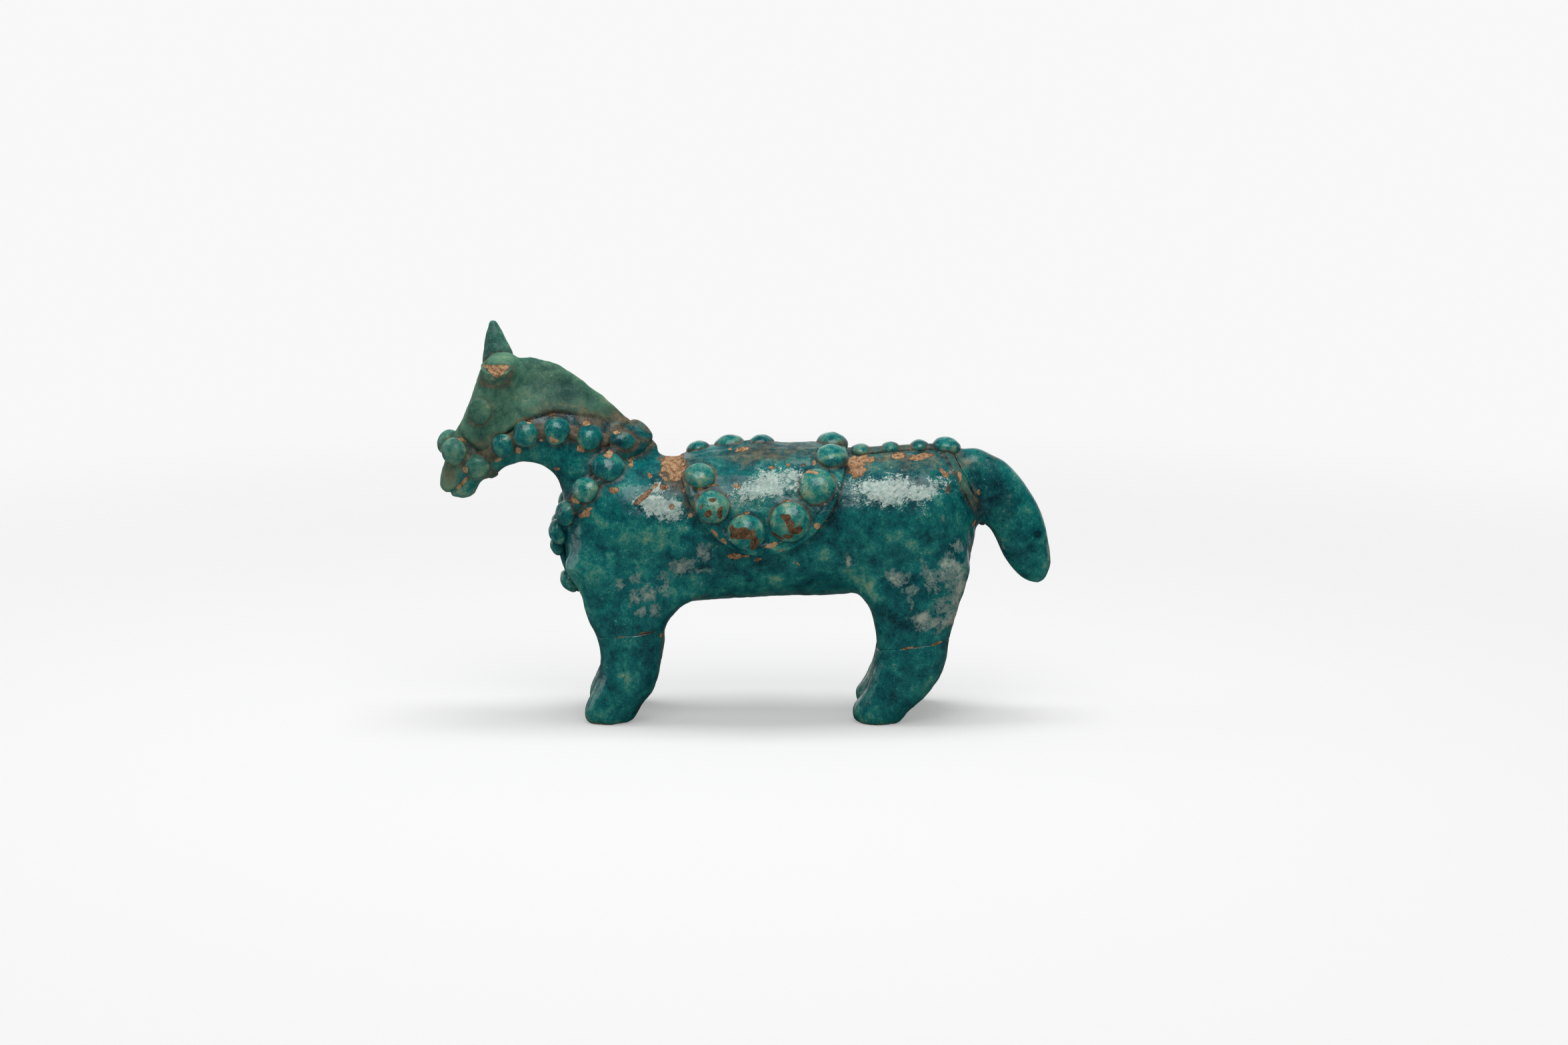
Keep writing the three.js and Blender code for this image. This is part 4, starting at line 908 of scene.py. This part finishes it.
# The knees and the tail are smoother than the rest
points = points_of(body)
knees = np.exp(-((np.abs(points[:, 2] - 25 * MM) / (4 * MM)) ** 4))
tail = 0.8 * np.clip((points[:, 0] - 66 * MM) / (5 * MM), 0, 1)
evened = np.maximum(knees, tail)[:, None]
set_points(body, points + evened * (smoothed(points, edges_of(body), 60) - points))
push_out(body, 0.16 * MM * tail)


# Dirt settles in the joins, and less of it low on the legs
def join_dirt(points, join):
    return 0.75 * join * np.clip((points[:, 2] - 55 * MM) / (10 * MM), 0, 1)


points = points_of(body)
above = from_line(points, CHEEK_LINE)[0]
neck_side = np.clip(above / (1.2 * MM) + 0.5, 0, 1) * (points[:, 0] < -30 * MM)
muzzle = np.clip((-80 * MM - points[:, 0] + 0.35 * (points[:, 2] - 80 * MM)) / (4 * MM), 0, 1)
coats = wear(points)
soles = np.clip(1 - points[:, 2] / (0.8 * MM), 0, 1)
places = picture(points)
mouth = near_line(places, MOUTH[:2], 1.0) * (points[:, 2] < 80 * MM) * (points[:, 0] < -70 * MM)
for bare in (1.3 * soles, 1.6 * mouth, 1.5 * broken_face(points)):
    coats["bare"] = np.maximum(coats["bare"], bare)
# A pale green line along the crest: glaze thin on the edge, and painted highlight
crest_highlight_line = near_line(places, [(-62, 109.4), (-58, 108.2), (-50, 104.6), (-42, 98.6), (-33, 89.8)], 0.9)
coats["thin"] = np.maximum(coats["thin"], 0.9 * crest_highlight_line * (0.5 + 0.5 * waves(points, 4 * MM, 71)))
# How near each point is to the strips and pellets: the glaze paints shade there as well as pooled glaze, and
# dirt gathers there
join = np.exp(-trim_gap / (1.1 * MM))
coats["soil"] = np.maximum(coats["soil"], join_dirt(points, join))
paint(
    body,
    pale=np.maximum(neck_side, muzzle),
    relief=relief_of(body, 40, 0.5 * MM),
    join=join,
    **coats,
)

# The legs' cracks, and the places where the neck and the tail leave the trunk. Each piece: the node or
# nodes, a point of the cut and the way outwards, the box that the cut stays in, and how far it gapes, with
# lengths in millimetres
LEVEL_BREAK = (math.sin(math.radians(8)), 0, -math.cos(math.radians(8)))
CUTS = [
    (["lower_foreleg_left"], (-34.5, 0, 27.2), LEVEL_BREAK, (-60, -30, -1), (-10, 0, 34), 0.3),
    (["lower_foreleg_right"], (-34.5, 0, 27.2), LEVEL_BREAK, (-60, 0, -1), (-10, 30, 34), 0.3),
    (["lower_hindleg_left"], (49.5, 0, 23.7), LEVEL_BREAK, (20, -30, -1), (80, 0, 31), 0.3),
    (["lower_hindleg_right"], (49.5, 0, 23.7), LEVEL_BREAK, (20, 0, -1), (80, 30, 31), 0.3),
    (["neck", "head"], (-56.2, 0, 60), (-0.606, 0, 0.795), (-100, -30, 50), (0, 30, 120), 0),
    (["tail"], (66.8, 0, 70), (0.89, 0, 0.45), (50, -30, 30), (100, 30, 90), 0),
]


def choose_faces(piece, chosen):
    bpy.ops.object.mode_set(mode="EDIT")
    bpy.ops.mesh.select_mode(type="FACE")
    bpy.ops.mesh.select_all(action="DESELECT")
    bpy.ops.object.mode_set(mode="OBJECT")
    piece.data.polygons.foreach_set("select", chosen)
    bpy.ops.object.mode_set(mode="EDIT")


# The points round the hole that a cut leaves
def rim_of(piece):
    sides = numbers(piece.data.loops, "edge_index", 1, np.int32).ravel()
    uses = np.bincount(sides, minlength=len(piece.data.edges))
    rim = np.zeros(len(piece.data.vertices), bool)
    rim[edges_of(piece)[uses == 1].ravel()] = True
    return rim


# Cuts a piece off the whole along a plane, inside a box, and leaves both open there
def cut_off(whole, name, place, outward, low, high):
    point = np.array(place) * MM
    outward = np.array(outward)
    alone(whole)

    def centres():
        middles = numbers(whole.data.polygons, "center", 3)
        inside = ((middles > np.array(low) * MM) & (middles < np.array(high) * MM)).all(axis=1)
        return inside, (middles - point) @ outward

    inside, beyond = centres()
    choose_faces(whole, inside & (np.abs(beyond) < 2 * MM))
    bpy.ops.mesh.select_mode(type="EDGE")
    bpy.ops.mesh.bisect(plane_co=point, plane_no=outward)
    bpy.ops.mesh.edge_split(type="EDGE")
    bpy.ops.object.mode_set(mode="OBJECT")
    inside, beyond = centres()
    choose_faces(whole, inside & (beyond > 0))
    bpy.ops.mesh.separate(type="SELECTED")
    bpy.ops.object.mode_set(mode="OBJECT")
    piece = next(thing for thing in bpy.context.selected_objects if thing != whole)
    piece.name = name
    return piece


# Draws the rim of the hole in, so that the crack gapes towards the back of the leg, and closes the hole
def close_up(piece, gaping):
    rim = rim_of(piece)
    points = points_of(piece)
    open_behind = np.clip((points[:, 0] - points[rim, 0].mean()) / (8 * MM) + 0.6, 0.2, 1.4)
    gape = gaping * MM * open_behind * (0.6 + np.clip(waves(points, 7 * MM, 21), -0.5, 1))
    inward = -normals_of(piece) * gape[:, None]
    points[rim] += inward[rim]
    set_points(piece, points)
    alone(piece)
    bpy.ops.object.mode_set(mode="EDIT")
    bpy.ops.mesh.select_all(action="SELECT")
    bpy.ops.mesh.fill_holes(sides=0)
    bpy.ops.mesh.select_all(action="SELECT")
    bpy.ops.mesh.normals_make_consistent(inside=False)
    bpy.ops.object.mode_set(mode="OBJECT")


# Dirt in the mended cracks, more of it towards the back of the leg
def dirty(piece):
    points = points_of(piece)
    layer = piece.data.attributes["soil"].data
    soil = np.empty(len(points), np.float32)
    layer.foreach_get("value", soil)
    for _, place, outward, low, high, _ in CUTS[:4]:
        offset = points - np.array(place) * MM
        inside = ((points > np.array(low) * MM) & (points < np.array(high) * MM)).all(axis=1)
        behind_knee = np.clip(offset[:, 0] / (8 * MM) + 0.5, 0, 1)
        near = np.exp(-((offset @ np.array(outward) / (0.28 * MM)) ** 2))
        clogged = 0.7 + 0.6 * waves(points, 5 * MM, 22)
        soil = np.maximum(soil, (0.25 + 1.1 * behind_knee) * clogged * inside * near)
    layer.foreach_set("value", soil.astype(np.float32))


pieces = []
for names, place, outward, low, high, gaping in CUTS:
    piece = cut_off(body, names[0] + "_clay", place, outward, low, high)
    close_up(piece, gaping)
    pieces.append((piece, names))
close_up(body, 0.15)
body.name = "trunk_clay"
pieces.append((body, ["trunk"]))
for piece, names in pieces:
    dirty(piece)
    finish(piece, "pale_glaze" if "neck" in names else "turquoise_glaze", *names)


# A strip, sheet or pellet as soft clay: swollen until it touches what it lies on, and rounded
def soft_copy(name, swelling=0.33 * MM, grain=0.36 * MM, passes=10):
    piece = clay_copy(name + "_clay", name, swelling)
    finish_with(piece, "REMESH", mode="VOXEL", voxel_size=grain)
    round_off(piece, passes)
    seed = sum(map(ord, name))
    points = points_of(piece)
    push_out(piece, (0.1 * waves(points, 5 * MM, seed) + 0.03 * waves(points, 1.8 * MM, seed + 1)) * MM)
    return piece


# Gives a piece its wear, the dirt and the painted shade in its join to the skin that it lies on, and its
# glaze
def dress(piece, name, skin, slot, **more):
    points = points_of(piece)
    coats = wear(points)
    if name in BEAD_NODES:
        coats["dull"][:] = 0
        coats["soil"] *= 0.6
    for key in COATS:
        if key in more:
            coats[key] = np.maximum(coats[key], more.pop(key))
    pale = more.pop("pale", 0.0) * np.ones(len(points))
    # How near each point is to what it lies on, for painted shade, pooled glaze and dirt in the join
    join = np.exp(-np.maximum(gaps(points, skin, 4 * MM) - SEAM, 0) / (0.9 * MM))
    coats["soil"] = np.maximum(coats["soil"], join_dirt(points, join))
    paint(piece, relief=relief_of(piece, 14, 0.3 * MM), join=join, pale=pale, **coats)
    finish(piece, slot, name)


# The ears: pinches of the same clay, smoothed on to the head and glazed with it. The right one is whole and
# drawn out to a point. The left one is broken off, and its slanted face is bare
ear = soft_copy("ear_right", 0.4 * MM, 0.34 * MM, 16)
dress(ear, "ear_right", skin_of(["head", "neck"]), "pale_glaze", pale=0.7, dull=0.4)

stump = soft_copy("ear_stump_left", 0.25 * MM, 0.22 * MM, 3)
points = points_of(stump)
open_face = broken_face(points)
push_out(stump, open_face * 0.14 * MM * waves(points, 1.1 * MM, 31))
nick = near_line(picture(points), [(-76.4, 106.4), (-74.8, 105.4)], 0.7)
stump_coats = {"pale": 1.0, "bare": 1.5 * open_face, "soil": 1.6 * nick}
dress(stump, "ear_stump_left", skin_of(["head"]), "bare_clay", **stump_coats)

# The eyes: low oval pellets of the same clay, one on each side, pressed on and glazed with the pale sheet
# so that they hardly stand out from it
for name in ("eye_left", "eye_right"):
    dress(soft_copy(name, 0.38 * MM, 0.26 * MM, 8), name, skin_of(["head"]), "pale_glaze", pale=0.95)

# The harness: flat strips of clay, luted on with slip under the beads. The breast collar is a thicker roll
# that swells where it crosses the withers. Dirt has stayed on all of them
STRAPS = {"noseband": 0.6, "rein_left": 0.9, "rein_right": 0.9, "breast_collar": 0.1, "crupper": 0.5}
beads_skin = skin_of(BODY_NODES + BEAD_NODES)
for name, dirt in STRAPS.items():
    collar = name == "breast_collar"
    strap = soft_copy(name, passes=60 if collar else 24)
    if collar:
        points = points_of(strap)
        rounder = smoothed(points, edges_of(strap), 420)
        share = np.clip((points[:, 2] - 78 * MM) / (4 * MM), 0, 1)[:, None]
        set_points(strap, points + share * (rounder - points))
        push_out(strap, 1.1 * MM * share[:, 0])
    slot = "pale_glaze" if name == "noseband" else "turquoise_glaze"
    dress(strap, name, beads_skin, slot, soil=dirt, dull=0.6 if collar else 1.0)

# The saddle cloth: one rolled-out sheet over the back, with a round flap on each side whose edge is
# turned over to a lip
FLAP_MIDDLE = (5.48, 83.2)  # across and up, in millimetres
FLAP_REACH = (24.5, 31.5)  # from there to its edge, along and down
saddle = soft_copy("saddle_cloth", 0.33 * MM, 0.42 * MM, 8)
points = points_of(saddle)
outline = np.hypot(
    (points[:, 0] / MM - FLAP_MIDDLE[0]) / FLAP_REACH[0],
    np.minimum(points[:, 2] / MM - FLAP_MIDDLE[1], 0) / FLAP_REACH[1],
)
lip = np.exp(-((((1 - outline) * 28 - 1.5) / 1.5) ** 2)) * np.clip((78 * MM - points[:, 2]) / (6 * MM), 0, 1)
outside = np.clip(normals_of(saddle)[:, 1] * np.sign(points[:, 1]), 0, 1)
lip = lip * (0.75 + 0.25 * waves(points, 9 * MM, 61))
push_out(saddle, (0.7 * lip * outside - 0.25 * (outline < 0.9) * outside) * MM)
pommel = np.exp(-(((points[:, 0] / MM - 1) / 7.5) ** 4) - (points[:, 1] / MM / 3.2) ** 2)
points = points_of(saddle)
points[:, 2] += 0.8 * MM * pommel * (points[:, 2] > 76 * MM)
set_points(saddle, points)
ends = np.exp(-(((np.abs(points[:, 0] / MM - FLAP_MIDDLE[0]) - 24.4) / 2.2) ** 2))
sinking = 1.1 * MM * ends * np.clip((points[:, 2] - 70 * MM) / (7 * MM), 0, 1)
outwards = points * [0, 1, 1] - [0, 0, 60 * MM]
outwards /= np.linalg.norm(outwards, axis=1)[:, None]
set_points(saddle, points - sinking[:, None] * outwards)
# Pale green streaks along the flap's lip: glaze thin on the rolled edge, and painted highlight
lip_highlight_streaks = np.clip(waves(points, 6 * MM, 62), 0, 1)
dress(saddle, "saddle_cloth", beads_skin, "turquoise_glaze", thin=1.1 * lip * outside * lip_highlight_streaks)


# The beads: balls of clay rolled between finger and thumb, pressed on along the straps and round the flaps
# while wet, and glazed over. Gives back the ball, and how far up it each point lies
def bead(name):
    mesh = frame["nodes"][name].data
    corners = numbers(mesh.vertices, "co", 3)
    areas = numbers(mesh.polygons, "area")
    middles = numbers(mesh.polygons, "center", 3)
    middle = (middles * areas).sum(axis=0) / areas.sum()
    _, axes = np.linalg.eigh(np.cov(corners.T))
    up = axes[:, 0]
    root = body_skin.find_nearest(middle)[0]
    if up @ np.array(middle - root) < 0:
        up = -up
    side = axes[:, 2]
    fore = np.cross(up, side)
    spans = [(corners - middle) @ axis for axis in (side, fore, up)]
    half_side, half_fore = [(span.max() - span.min()) / 2 + 0.12 * MM for span in spans[:2]]
    top = spans[2].max() + 0.1 * MM
    half_up = 0.74 * (half_side + half_fore) / 2
    bpy.ops.mesh.primitive_ico_sphere_add(subdivisions=5, radius=1, location=(0, 0, 0))
    piece = bpy.context.object
    piece.name = name + "_clay"
    ways = points_of(piece)
    seed = sum(map(ord, name))
    swell = 1 + 0.035 * waves(ways, 1.6, seed) + 0.012 * waves(ways, 0.6, seed + 1)
    shape = ways * swell[:, None] * np.array([half_side, half_fore, half_up])
    centre = middle + up * (top - half_up)
    for axis, span in ((side, spans[0]), (fore, spans[1])):
        centre = centre + axis * (span.max() + span.min()) / 2
    set_points(piece, centre + shape @ np.stack([side, fore, up]))
    if np.linalg.det(np.stack([side, fore, up])) < 0:
        alone(piece)
        bpy.ops.object.mode_set(mode="EDIT")
        bpy.ops.mesh.select_all(action="SELECT")
        bpy.ops.mesh.flip_normals()
        bpy.ops.object.mode_set(mode="OBJECT")
    return piece, ways[:, 2]


carriers = skin_of(BODY_NODES + ["saddle_cloth", *STRAPS])
for name in BEAD_NODES:
    piece, rise = bead(name)
    on_muzzle = name.startswith(("nose", "chin"))
    on_flap = name.startswith(("saddle_boss_left", "saddle_boss_right"))
    blotch = waves(points_of(piece), 3 * MM, sum(map(ord, name)))
    thin = (0.7 if on_flap else 0.3) + 0.5 * np.clip(0.9 - rise, 0, 1) ** 2 + 0.4 * np.clip(blotch, 0, 1)
    pool = 0.6 * np.clip(-blotch, 0, 1)
    dress(piece, name, carriers, "turquoise_glaze", pale=0.6 if on_muzzle else 0.0, thin=thin, pool=pool)
